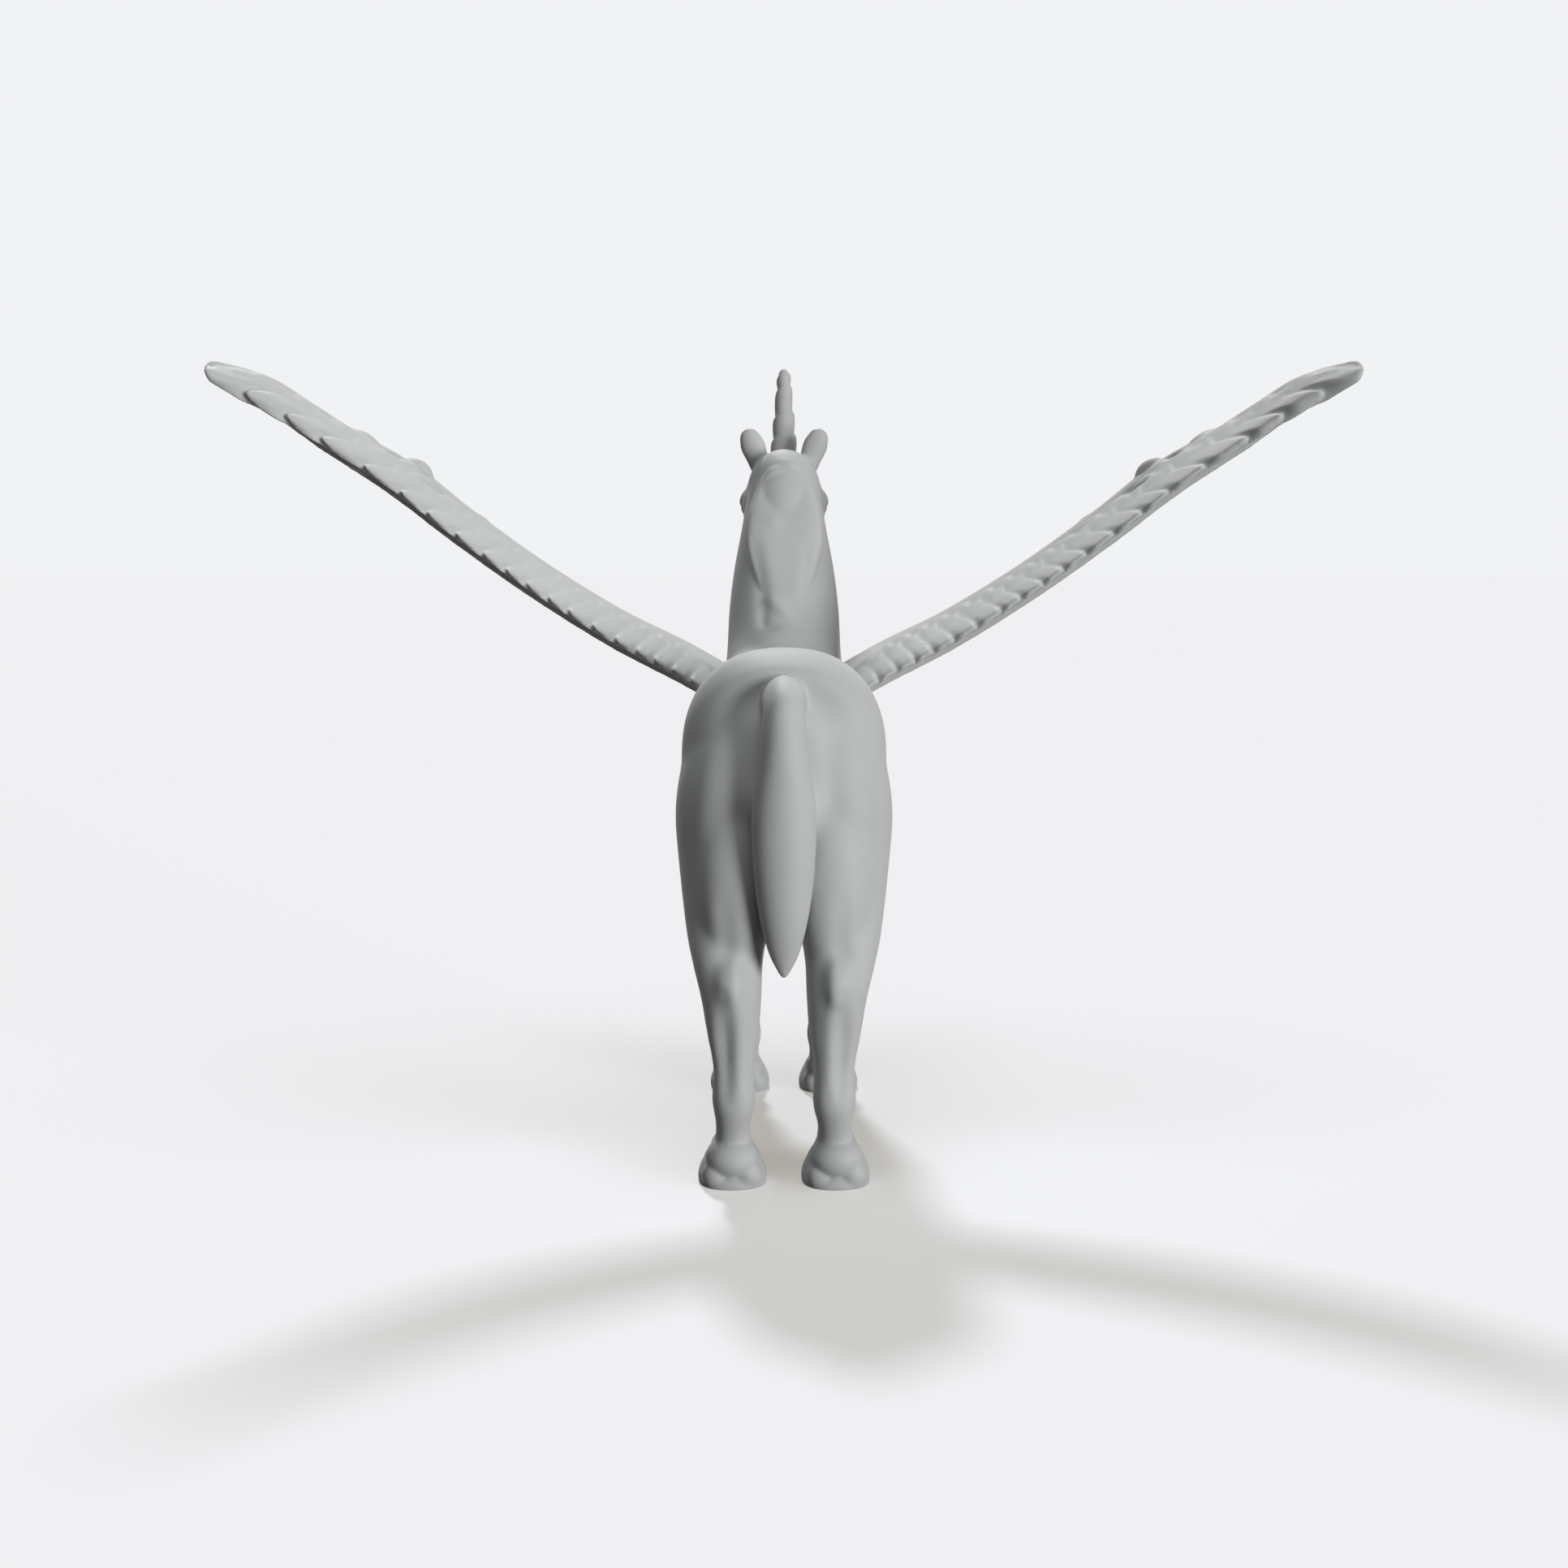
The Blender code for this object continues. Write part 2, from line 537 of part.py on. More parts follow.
def layer_ring(row, top, bottom, gaps, undercut, shift, lobes, coverts, sides):
    """One section of a wing layer, between top and bottom measured from the wing's middle surface.

    gaps are its distances from the wing's front and rear edge, lobes is the share of the full
    relief that it carries, and shift moves its creases by a share of a feather.
    """
    x, front_y, front_z, rear_y, rear_z = row
    angle = np.linspace(0, 2 * pi, sides, endpoint=False)
    blunt = np.sqrt(1 - (1 - np.clip((WING_HALF_SPAN - x) / TIP_ROUND, 0.01, 1)) ** 2)
    over = np.sign(np.cos(angle)) * np.abs(np.cos(angle)) ** 0.4 * blunt
    up = np.sign(np.sin(angle)) * np.abs(np.sin(angle)) ** 0.4
    deep = rear_y - front_y
    chord = (gaps[0] + (deep - gaps[0] - gaps[1]) * (0.5 + 0.5 * over)) / deep
    fall = (1 - up) / 2
    slant = CREASE_SLANT * x / WING_HALF_SPAN
    number = feather_number(x + sweep_at(x) * (1 - chord) + slant * fall) + shift
    sunk = (1 - standing(number)) * lobes
    rear = eased(chord, 0.80, 0.97)
    middle = eased(chord, 0.25, 0.75)
    height = (top + bottom) / 2 + (top - bottom) / 2 * up * blunt
    height = height - TOP_RELIEF * sunk * middle * np.clip(up, 0, 1)
    height = height + (CREASE_RISE * rear + UNDER_RELIEF * (middle - rear)) * sunk * np.clip(-up, 0, 1)
    if coverts:
        cover = covert_height(x, chord, 0.58, 0.5) + covert_height(x, chord, 0.36, 0.0)
        height = height + cover * np.clip(up, 0, 1) * blunt
    y = front_y + deep * chord - (CREASE_DEPTH * sunk + undercut * fall) * rear
    z = front_z + (rear_z - front_z) * chord + WING_ARCH * 4 * chord * (1 - chord) + height
    return np.column_stack((np.full(sides, x), y, z))


def add_wing_layer(
    bm, profile, gaps, undercut, shift=0.0, lobes=1.0, coverts=False, steps=260, sides=64
):
    """One layer of the wing. profile holds rows of x, top and bottom."""
    profile = np.array(profile)
    rings = []
    for row in smooth_rows(WING_EDGES, steps):
        top = np.interp(row[0], profile[:, 0], profile[:, 1])
        bottom = np.interp(row[0], profile[:, 0], profile[:, 2])
        rings.append(layer_ring(row, top, bottom, gaps, undercut, shift, lobes, coverts, sides))
    add_rings(bm, rings)


def add_wing(bm):
    """The +X wing: an upper layer of lobed flight feathers, two thin layers under it and the arm."""
    start = WING_ROOT_X - 0.0060
    upper = (
        (start, 0.0009, -0.0005),
        (WRIST_X, 0.0009, -0.0005),
        (WING_HALF_SPAN - 0.0203, 0.0012, -0.0007),
        (WING_HALF_SPAN - 0.0113, 0.0018, -0.0014),
        (WING_HALF_SPAN - 0.0063, 0.0017, -0.0022),
        (WING_HALF_SPAN - 0.0023, 0.0014, -0.0014),
        (WING_HALF_SPAN, 0.0012, -0.0010),
    )
    first_under = (
        (start, 0.0000, -0.0017),
        (WING_HALF_SPAN - 0.0193, 0.0000, -0.0018),
        (WING_HALF_SPAN - 0.0113, 0.0006, -0.0020),
        (WING_HALF_SPAN - 0.0063, 0.0006, -0.0014),
        (WING_HALF_SPAN, 0.0005, -0.0003),
    )
    second_under = (
        (start, -0.0010, -0.0027),
        (WING_HALF_SPAN - 0.0193, -0.0010, -0.0027),
        (WING_HALF_SPAN - 0.0113, 0.0002, -0.0024),
        (WING_HALF_SPAN - 0.0063, 0.0005, -0.0012),
        (WING_HALF_SPAN, 0.0004, -0.0002),
    )
    gaps = list(zip(FRONT_GAPS, REAR_GAPS))
    add_wing_layer(bm, upper, gaps[0], UPPER_UNDERCUT, coverts=True)
    add_wing_layer(bm, first_under, gaps[1], LOWER_UNDERCUT, shift=0.45, lobes=LOWER_LOBES)
    add_wing_layer(bm, second_under, gaps[2], LOWER_UNDERCUT, shift=0.75, lobes=LOWER_LOBES)
    add_wing_arm(bm)


def add_wing_arm(bm):
    """The thick front of the wing, with its knuckles."""
    thick = ARM_HALF_THICKNESS
    inner = wing_point(WING_ROOT_X, 0.30)
    stations = [
        (inner[0] - 0.0060, inner[1] + 0.002, inner[2] - 0.0040, 0.0070, thick + 0.0014),
        (inner[0], inner[1] + 0.001, inner[2] - 0.0005, 0.0072, thick + 0.0010),
    ]
    for x, half_chord, half_thick in (
        (0.0200, 0.0056, thick + 0.0002),
        (0.0330, 0.0048, thick),
        (0.0480, 0.0045, thick),
        (0.0620, 0.0043, thick),
        (WRIST_X, 0.0040, thick + 0.0001),
        (WING_HALF_SPAN - 0.0203, 0.0030, thick - 0.0006),
        (WING_HALF_SPAN - 0.0093, 0.0020, thick - 0.0011),
        (WING_HALF_SPAN - 0.0030, 0.0012, thick - 0.0014),
    ):
        front = wing_point(x, 0.16)
        stations.append((*front, half_chord, half_thick))
    add_loft(bm, stations, across=(0, 1, 0), count=50, sides=18, fullness=2.1)
    for x, size in KNUCKLES:
        knuckle = wing_point(x, KNUCKLE_CHORD) + np.array((0, 0, thick * KNUCKLE_RISE))
        add_ball(bm, knuckle, (size * 2.2, size * 1.9, size * 0.85))


def mesh_of(bm, name):
    """A mesh made from bm, which is freed."""
    bmesh.ops.recalc_face_normals(bm, faces=bm.faces)
    mesh = bpy.data.meshes.new(name)
    bm.to_mesh(mesh)
    bm.free()
    return mesh


def modified(mesh, *settings):
    """The mesh after the given modifiers, each as (type, values)."""
    holder = bpy.data.objects.new("holder", mesh)
    bpy.context.scene.collection.objects.link(holder)
    for kind, values in settings:
        modifier = holder.modifiers.new(kind.lower(), kind)
        for name, value in values.items():
            setattr(modifier, name, value)
    graph = bpy.context.evaluated_depsgraph_get()
    made = bpy.data.meshes.new_from_object(holder.evaluated_get(graph))
    bpy.data.objects.remove(holder)
    return made


def fused(mesh, voxel, passes):
    """One skin around all the overlapping masses, softened."""
    remesh = {"mode": "VOXEL", "voxel_size": voxel, "adaptivity": 0.0}
    soften = {"factor": 0.5, "iterations": passes}
    return modified(mesh, ("REMESH", remesh), ("SMOOTH", soften))


def body_mesh():
    """Trunk, legs, neck and head, blended softly into each other."""
    bm = bmesh.new()
    add_hind_leg(bm)
    add_front_leg(bm)
    mirror_all(bm)
    add_trunk(bm)
    add_neck(bm)
    add_head(bm)
    return fused(mesh_of(bm, "body"), BODY_VOXEL, BODY_PASSES)


def figure_mesh():
    """The body with hooves, tail, mane, ears and the +X wing, without the horn."""
    bm = bmesh.new()
    add_hoof(bm, REAR_HOOF_Y)
    add_hoof(bm, FRONT_HOOF_Y)
    add_ear(bm)
    add_eye(bm)
    mirror_all(bm)
    add_tail(bm)
    add_mane(bm)
    add_wing(bm)
    bm.from_mesh(body_mesh())
    return fused(mesh_of(bm, "figure"), FINE_VOXEL, FINE_PASSES)


def press(points, normals, tree, path, width, depth):
    """Presses the skin in by depth along a path, fading over width. A negative depth raises it."""
    line = np.array([tree.find_nearest(Vector(place))[0] for place in smooth_rows(path, 20)])
    low = line.min(axis=0) - 2.5 * width
    high = line.max(axis=0) + 2.5 * width
    near = ((points > low) & (points < high)).all(axis=1)
    gaps = np.linalg.norm(points[near, None] - line[None], axis=2).min(axis=1)
    points[near] -= normals[near] * (depth * np.exp(-((gaps / width) ** 2)))[:, None]


def carved_lines():
    """Every pressed line on the +X side, as (path, width, depth)."""
    x = TRACK_HALF
    rear = REAR_HOOF_Y
    end = HEAD_LENGTH
    brow = BROW_HALF_WIDTH
    mouth = MUZZLE_HALF_WIDTH
    haunch = ((0.0128, rear, 0.0830), (0.0146, rear + 0.003, 0.0700), (0.0136, rear + 0.002, 0.0560))
    gaskin = ((x + 0.0010, rear + 0.011, 0.0480), (x + 0.0008, rear + 0.011, 0.0410))
    hock = ((x + 0.0014, rear + 0.012, HOCK_Z + 0.0005), (x + 0.0009, rear + 0.012, HOCK_Z - 0.0020))
    tendon = ((x + 0.0006, rear + 0.009, HOCK_Z - 0.0070), (x + 0.0010, rear + 0.009, REAR_FETLOCK_Z))
    shoulder = ((0.0120, -0.0240, 0.0880), (0.0150, -0.0380, 0.0740), (0.0140, -0.0420, 0.0620))
    girth = ((0.0150, -0.0190, 0.0800), (0.0170, -0.0205, 0.0660), (0.0150, -0.0200, 0.0540))
    flank = ((0.0170, 0.0110, 0.0740), (0.0160, 0.0070, 0.0640))
    throat = ((0.0080, POLL_Y - 0.0020, 0.1130), (0.0100, POLL_Y + 0.0010, 0.1000), (0.0110, -0.0460, 0.0880))
    nostril = (head_point(end - 0.0020, mouth + 0.0010, -0.0014), head_point(end - 0.0036, mouth, -0.0020))
    eyelid = (
        head_point(0.0080, brow, -0.0016),
        head_point(0.0098, brow, -0.0036),
        head_point(0.0125, brow, -0.0026),
        head_point(0.0130, brow, -0.0012),
        head_point(0.0108, brow, -0.0002),
        head_point(0.0082, brow, -0.0012),
    )
    foot, way = ear_frame()
    hollow = [tuple(foot + way * EAR_LENGTH * share - Vector((0, 0.003, 0))) for share in (0.30, 0.55, 0.82)]
    wrist = tuple(wing_point(WRIST_X - 0.0036, 0.40) + np.array((0, 0, 0.003)))
    hand = tuple(wing_point(WRIST_X + 0.0030, 0.34) + np.array((0, 0, 0.003)))
    return (
        (haunch, 0.0024, 0.00050),
        (gaskin, 0.0014, 0.00045),
        (hock, 0.0009, 0.00050),
        (tendon, 0.0010, 0.00045),
        (shoulder, 0.0018, 0.00045),
        (girth, 0.0024, 0.00060),
        (flank, 0.0040, 0.00080),
        (throat, 0.0018, 0.00050),
        (nostril, 0.0008, 0.00090),
        (eyelid, 0.0005, 0.00035),
        (hollow, 0.0010, 0.00090),
        ((wrist, wrist), 0.0016, 0.00090),
        ((hand, hand), 0.0012, 0.00070),
    )


def carved(mesh):
    """The mesh with all its lines and hollows pressed in."""
    tree = BVHTree.FromPolygons([vert.co for vert in mesh.vertices], [face.vertices for face in mesh.polygons])
    points = np.empty(len(mesh.vertices) * 3)
    mesh.vertices.foreach_get("co", points)
    points = points.reshape(-1, 3)
    normals = np.empty(len(points) * 3)
    mesh.vertex_normals.foreach_get("vector", normals)
    normals = normals.reshape(-1, 3)
    for path, width, depth in carved_lines():
        press(points, normals, tree, path, width, depth)
    mesh.vertices.foreach_set("co", points.ravel())
    mesh.update()
    return mesh


def half_of(mesh):
    """The +X half of the mesh, open along x = 0."""
    bm = bmesh.new()
    bm.from_mesh(mesh)
    everything = bm.verts[:] + bm.edges[:] + bm.faces[:]
    bmesh.ops.bisect_plane(
        bm, geom=everything, dist=1e-6, plane_co=(0, 0, 0), plane_no=(1, 0, 0), clear_inner=True
    )
    bm.to_mesh(mesh)
    bm.free()
    return mesh


def whole_of(mesh):
    """Both halves, joined along x = 0."""
    bm = bmesh.new()
    bm.from_mesh(mesh)
    for vert in bm.verts:
        if vert.is_boundary:
            vert.co.x = 0
    mirror_all(bm)
    bmesh.ops.remove_doubles(bm, verts=[vert for vert in bm.verts if vert.is_boundary], dist=1e-6)
    bm.to_mesh(mesh)
    bm.free()
    return mesh


def to_centre(mesh):
    """The move that puts the middle of the mesh's length at y = 0."""
    corners = np.array([vert.co for vert in mesh.vertices])
    middle_y = (corners[:, 1].min() + corners[:, 1].max()) / 2
    return Matrix.Translation((0, -middle_y, 0))


def helper_object(name, mesh):
    """An object that only takes part in a cut or a join."""
    helper = bpy.data.objects.new(name, mesh)
    bpy.context.scene.collection.objects.link(helper)
    helper.hide_render = True
    helper.display_type = "WIRE"
    return helper


def horn_mesh():
    """The horn by itself. Its spiral runs one way, so it isn't mirrored with the rest."""
    bm = bmesh.new()
    add_horn(bm)
    return mesh_of(bm, "horn")


def resin():
    """Matt light grey casting resin."""
    material = bpy.data.materials.new("cast_resin")
    material.use_nodes = True
    shader = material.node_tree.nodes["Principled BSDF"]
    shader.inputs["Base Color"].default_value = (0.46, 0.47, 0.475, 1)
    shader.inputs["Roughness"].default_value = 0.62
    shader.inputs["Metallic"].default_value = 0.0
    return material


def sole_block():
    """A block under the floor that cuts the soles flat."""
    bm = bmesh.new()
    place = Matrix.LocRotScale(Vector((0, 0, -SOLE_BLOCK[2] / 2)), None, Vector(SOLE_BLOCK))
    bmesh.ops.create_cube(bm, size=1, matrix=place)
    return mesh_of(bm, "sole_block")


def main():
    for obj in list(bpy.data.objects):
        bpy.data.objects.remove(obj)
    half = half_of(carved(figure_mesh()))
    faces = sum(len(face.vertices) - 2 for face in half.polygons)
    half = modified(half, ("DECIMATE", {"ratio": TRIANGLES / 2 / faces}))
    mesh = whole_of(half)
    horn = horn_mesh()
    move = to_centre(mesh)
    mesh.transform(move)
    horn.transform(move)
    mesh.name = "figurine"
    figurine = bpy.data.objects.new("figurine", mesh)
    bpy.context.scene.collection.objects.link(figurine)
    mesh.materials.clear()
    mesh.materials.append(resin())
    for name, operation, helper in (
        ("horn", "UNION", helper_object("horn", horn)),
        ("flat_soles", "DIFFERENCE", helper_object("sole_cutter", sole_block())),
    ):
        step = figurine.modifiers.new(name, "BOOLEAN")
        step.solver = "EXACT"
        step.operation = operation
        step.object = helper
    mesh.shade_smooth()


main()
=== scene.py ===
"""Looks of the winged unicorn figurine: a finely carved skin in matt cast resin, on a plain pale floor.

The carved skin repeats the masses of the part's source at a finer grain. It is made in the
sculptor's frame, with the hind hooves at y = +33.5 mm and the front ones at y = -33.5 mm,
and then moved onto the CAD box.
"""

from math import cos, pi, radians, sin

import bmesh
import bpy
import numpy as np
from mathutils import Euler, Matrix, Vector
from mathutils.bvhtree import BVHTree


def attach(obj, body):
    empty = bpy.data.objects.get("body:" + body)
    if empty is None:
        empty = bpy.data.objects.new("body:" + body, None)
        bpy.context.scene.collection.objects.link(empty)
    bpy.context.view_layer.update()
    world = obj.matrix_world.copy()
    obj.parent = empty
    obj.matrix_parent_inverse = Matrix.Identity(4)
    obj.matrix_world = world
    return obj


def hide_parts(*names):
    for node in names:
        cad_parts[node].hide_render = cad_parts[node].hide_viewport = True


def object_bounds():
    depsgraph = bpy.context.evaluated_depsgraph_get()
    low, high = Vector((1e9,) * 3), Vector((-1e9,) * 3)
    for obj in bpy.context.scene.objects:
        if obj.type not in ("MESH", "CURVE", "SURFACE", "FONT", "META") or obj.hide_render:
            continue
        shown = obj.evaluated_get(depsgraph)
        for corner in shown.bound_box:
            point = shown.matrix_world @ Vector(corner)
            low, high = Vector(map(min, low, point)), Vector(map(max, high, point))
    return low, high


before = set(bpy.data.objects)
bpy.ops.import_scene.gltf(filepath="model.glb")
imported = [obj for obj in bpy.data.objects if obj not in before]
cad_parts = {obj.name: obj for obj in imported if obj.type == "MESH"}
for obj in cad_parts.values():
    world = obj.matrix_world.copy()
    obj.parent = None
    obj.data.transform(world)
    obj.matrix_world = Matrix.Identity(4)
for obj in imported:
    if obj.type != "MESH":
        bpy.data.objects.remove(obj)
CAD_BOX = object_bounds()

# Trunk
CROUP_TOP = 0.0945
BACK_TOP = 0.0892
WITHERS_TOP = 0.0945
BELLY_BOTTOM = 0.0500
FLANK_BOTTOM = 0.0560
HIP_HALF_WIDTH = 0.0192
BARREL_HALF_WIDTH = 0.0178
CHEST_HALF_WIDTH = 0.0140
BUTTOCK_Y = 0.0400
CHEST_Y = -0.0470

# Where the hooves stand
TRACK_HALF = 0.0092
REAR_HOOF_Y = 0.0335
FRONT_HOOF_Y = -0.0335

# Hoof
HOOF_HALF_WIDTH = 0.0060
HOOF_HALF_LENGTH = 0.0063
HOOF_HEIGHT = 0.0080
HEEL_RADIUS = 0.0027

# Hind leg
REAR_PASTERN_Z = 0.0112
REAR_FETLOCK_Z = 0.0160
HOCK_Z = 0.0350
GASKIN_Z = 0.0460
STIFLE_Z = 0.0560
REAR_PASTERN_HALF = 0.0031
REAR_FETLOCK_HALF = 0.0039
REAR_CANNON_HALF = 0.0037
HOCK_HALF = 0.0054
GASKIN_HALF = 0.0073

# Front leg
FRONT_PASTERN_Z = 0.0092
FRONT_FETLOCK_Z = 0.0128
KNEE_Z = 0.0285
ELBOW_Z = 0.0500
FRONT_PASTERN_HALF = 0.0041
FRONT_FETLOCK_HALF = 0.0046
FRONT_CANNON_HALF = 0.0037
KNEE_HALF = 0.0044
FOREARM_HALF = 0.0056

# Neck and head
POLL_Y = -0.0500
POLL_TOP = 0.1326
NECK_BASE_HALF = 0.0116
NECK_TOP_HALF = 0.0082
HEAD_LENGTH = 0.0370
HEAD_SLOPE = radians(47)
BROW_HALF_WIDTH = 0.0090
MUZZLE_HALF_WIDTH = 0.0043
EAR_LENGTH = 0.0093
EAR_HALF_WIDTH = 0.0024
EAR_SPREAD = radians(21)
EYE_RADIUS = 0.0014

# Horn
HORN_LENGTH = 0.0268
HORN_BASE_RADIUS = 0.0033
HORN_TIP_RADIUS = 0.0012
HORN_RIDGE = 0.0007
HORN_UNEVENNESS = 0.6
HORN_LEAN = radians(18)
# Shares of the horn's length at which the spiral's ledge crosses its back
HORN_LEDGES = (-0.12, 0.05, 0.22, 0.40, 0.59, 0.825, 0.935, 1.05)

# Tail
TAIL_TOP = 0.0885
TAIL_TIP_Z = 0.0388
TAIL_HALF_WIDTH = 0.0055
TAIL_HALF_DEPTH = 0.0042

# Wings
WING_HALF_SPAN = 0.1063
WING_ROOT_X = 0.0100
WRIST_X = 0.0740
WING_ARCH = 0.0012
TIP_ROUND = 0.0018
EDGE_SQUARENESS = 0.4
ARM_HALF_THICKNESS = 0.0021
ARM_CHORD = 0.16
KNUCKLE_CHORD = 0.12
# Place along the wing, half length and height above the arm of each knuckle
KNUCKLES = ((0.0605, 0.0030, 0.0002), (0.0727, 0.0031, 0.0016), (0.0818, 0.0034, 0.0004))

# Flight feathers: how far the creases between them slant, sweep and sink
ROOT_SLANT = 0.0036
TIP_SLANT = 0.0066
ROOT_SWEEP = 0.0040
TIP_SWEEP = 0.0230
CREASE_CURVE = 3.0
CREASE_DEPTH = 0.0017
CREASE_RISE = 0.0004
TOP_RELIEF = 0.0003
UNDER_RELIEF = 0.0005
# Places along the rear edge where one feather ends and the next begins
CREASES = (
    0.0140, 0.0178, 0.0212, 0.0247, 0.0280, 0.0320, 0.0363, 0.0409, 0.0445, 0.0486,
    0.0524, 0.0566, 0.0617, 0.0670, 0.0718, 0.0784, 0.0862, 0.0923, 0.0994, 0.1125,
)

# Feather layers, from the upper one to the lowest
FRONT_GAPS = (0.0006, 0.0014, 0.0018)
REAR_GAPS = (0.0, 0.0016, 0.0030)
UNDERCUTS = (0.0007, 0.0032, 0.0032)
CREASE_SHIFTS = (0.0, 0.45, 0.75)
LOBES = (1.0, 0.30, 0.30)

# Coverts: the chord at which each row of short feathers ends, and the shift of its creases
COVERT_STEP = 0.0005
COVERT_SCALLOP = 0.07
COVERT_ROWS = ((0.58, 0.5), (0.36, 0.0))

# Fusing, pressed lines and finish
BODY_VOXEL = 0.0006
FINE_VOXEL = 0.00032
BODY_PASSES = 25
FINE_PASSES = 6
TRIANGLES = 196000
STROKE_POINTS = 24
STROKE_REACH = 2.5

# Resin
RESIN_DARK = (0.452, 0.462, 0.468)
RESIN_LIGHT = (0.470, 0.480, 0.486)
RESIN_ROUGHNESS = 0.62
RESIN_SPECULAR = 0.30
CLOUD_SCALE = 90
TOOTH_SCALE = 2600
TOOTH_STRENGTH = 0.08
TOOTH_HEIGHT = 0.00005

# Camera, in the sculptor's frame
LENS = 50.0
SENSOR = 36.0
CAMERA_Y = 0.4115
CAMERA_Z = 0.1144
CAMERA_PITCH = radians(6.5)

# Light
AMBIENT = 0.01
AMBIENT_COLOUR = (0.97, 0.99, 1.0)
FRONT_LAMP = 1.9
FRONT_LAMP_WAY = (-0.14, 0.96, -1.0)
FRONT_LAMP_SOFTNESS = radians(7)
FRONT_LAMP_COLOUR = (1.0, 0.995, 0.985)
SIDE_LAMP = 2.7
SIDE_LAMP_WAY = (0.71, -0.70, 0.0)
SIDE_LAMP_SOFTNESS = radians(28)
SIDE_LAMP_COLOUR = (1.0, 1.0, 0.995)
TOP_LAMP = 1.2
TOP_LAMP_WAY = (0.0, -0.25, -0.97)
TOP_LAMP_SOFTNESS = radians(50)
TOP_LAMP_COLOUR = (1.0, 1.0, 1.0)

# Backdrop and floor
BACKDROP = (0.879, 0.887, 0.905)
FLOOR_HALF = 6.0
FLOOR_ALBEDO = (0.07, 0.07, 0.07)
FLOOR_SHADOW_PART = (0.60, 0.63, 0.71)
FLOOR_GLOW_PART = (0.350, 0.330, 0.280)


def smooth_rows(rows, count):
    """The given rows of numbers, resampled on one smooth curve through them."""
    rows = np.array(rows, float)
    last = len(rows) - 1
    picked = []
    for step in np.linspace(0, last, count):
        index = min(int(step), last - 1)
        t = step - index
        before = rows[max(index - 1, 0)]
        start = rows[index]
        end = rows[index + 1]
        after = rows[min(index + 2, last)]
        linear = (end - before) * t
        square = (2 * before - 5 * start + 4 * end - after) * t**2
        cube = (3 * start - before - 3 * end + after) * t**3
        picked.append(start + 0.5 * (linear + square + cube))
    return np.array(picked)


def eased(value, low, high):
    """0 below low, 1 above high and a smooth rise between."""
    share = np.clip((value - low) / (high - low), 0, 1)
    return share * share * (3 - 2 * share)


def add_rings(bm, rings):
    """Skins closed rings of points, one after the other, and caps both ends."""
    loops = [[bm.verts.new(point) for point in ring] for ring in rings]
    sides = len(loops[0])
    for lower, upper in zip(loops, loops[1:]):
        for k in range(sides):
            bm.faces.new((lower[k], lower[(k + 1) % sides], upper[(k + 1) % sides], upper[k]))
    bm.faces.new(loops[0][::-1])
    bm.faces.new(loops[-1])


def add_loft(bm, stations, across=(1, 0, 0), count=60, sides=48, fullness=2.0):
    """A loft through stations (x, y, z, half width, half depth). The width lies along across."""
    rows = smooth_rows(stations, count)
    centres = rows[:, :3]
    forward = np.gradient(centres, axis=0)
    forward /= np.linalg.norm(forward, axis=1)[:, None]
    rings = []
    for centre, ahead, half_width, half_depth in zip(centres, forward, rows[:, 3], rows[:, 4]):
        wide = np.array(across, float) - ahead * np.dot(across, ahead)
        wide /= np.linalg.norm(wide)
        deep = np.cross(ahead, wide)
        ring = []
        for k in range(sides):
            angle = 2 * pi * k / sides
            over = np.sign(cos(angle)) * abs(cos(angle)) ** (2 / fullness)
            up = np.sign(sin(angle)) * abs(sin(angle)) ** (2 / fullness)
            ring.append(centre + wide * half_width * over + deep * half_depth * up)
        rings.append(ring)
    add_rings(bm, rings)


def add_ball(bm, centre, radii, turn=(0, 0, 0), bands=24, sides=36):
    """An ellipsoid muscle, joint or knob."""
    place = Matrix.LocRotScale(Vector(centre), Euler(turn), Vector(radii))
    rings = []
    for band in range(bands):
        polar = pi * (band + 0.5) / bands
        ring = []
        for k in range(sides):
            angle = 2 * pi * k / sides
            ring.append(place @ Vector((sin(polar) * cos(angle), sin(polar) * sin(angle), cos(polar))))
        rings.append(ring)
    add_rings(bm, rings)


def mirror_all(bm):
    """Adds the other side of everything in bm."""
    made = bmesh.ops.duplicate(bm, geom=bm.verts[:] + bm.edges[:] + bm.faces[:])["geom"]
    verts = [item for item in made if isinstance(item, bmesh.types.BMVert)]
    for vert in verts:
        vert.co.x = -vert.co.x
    bmesh.ops.reverse_faces(bm, faces=[item for item in made if isinstance(item, bmesh.types.BMFace)])


def trunk_station(y, top, bottom, half_width):
    """A station of the trunk, given by its top and bottom lines."""
    return (0, y, (top + bottom) / 2, half_width, (top - bottom) / 2)


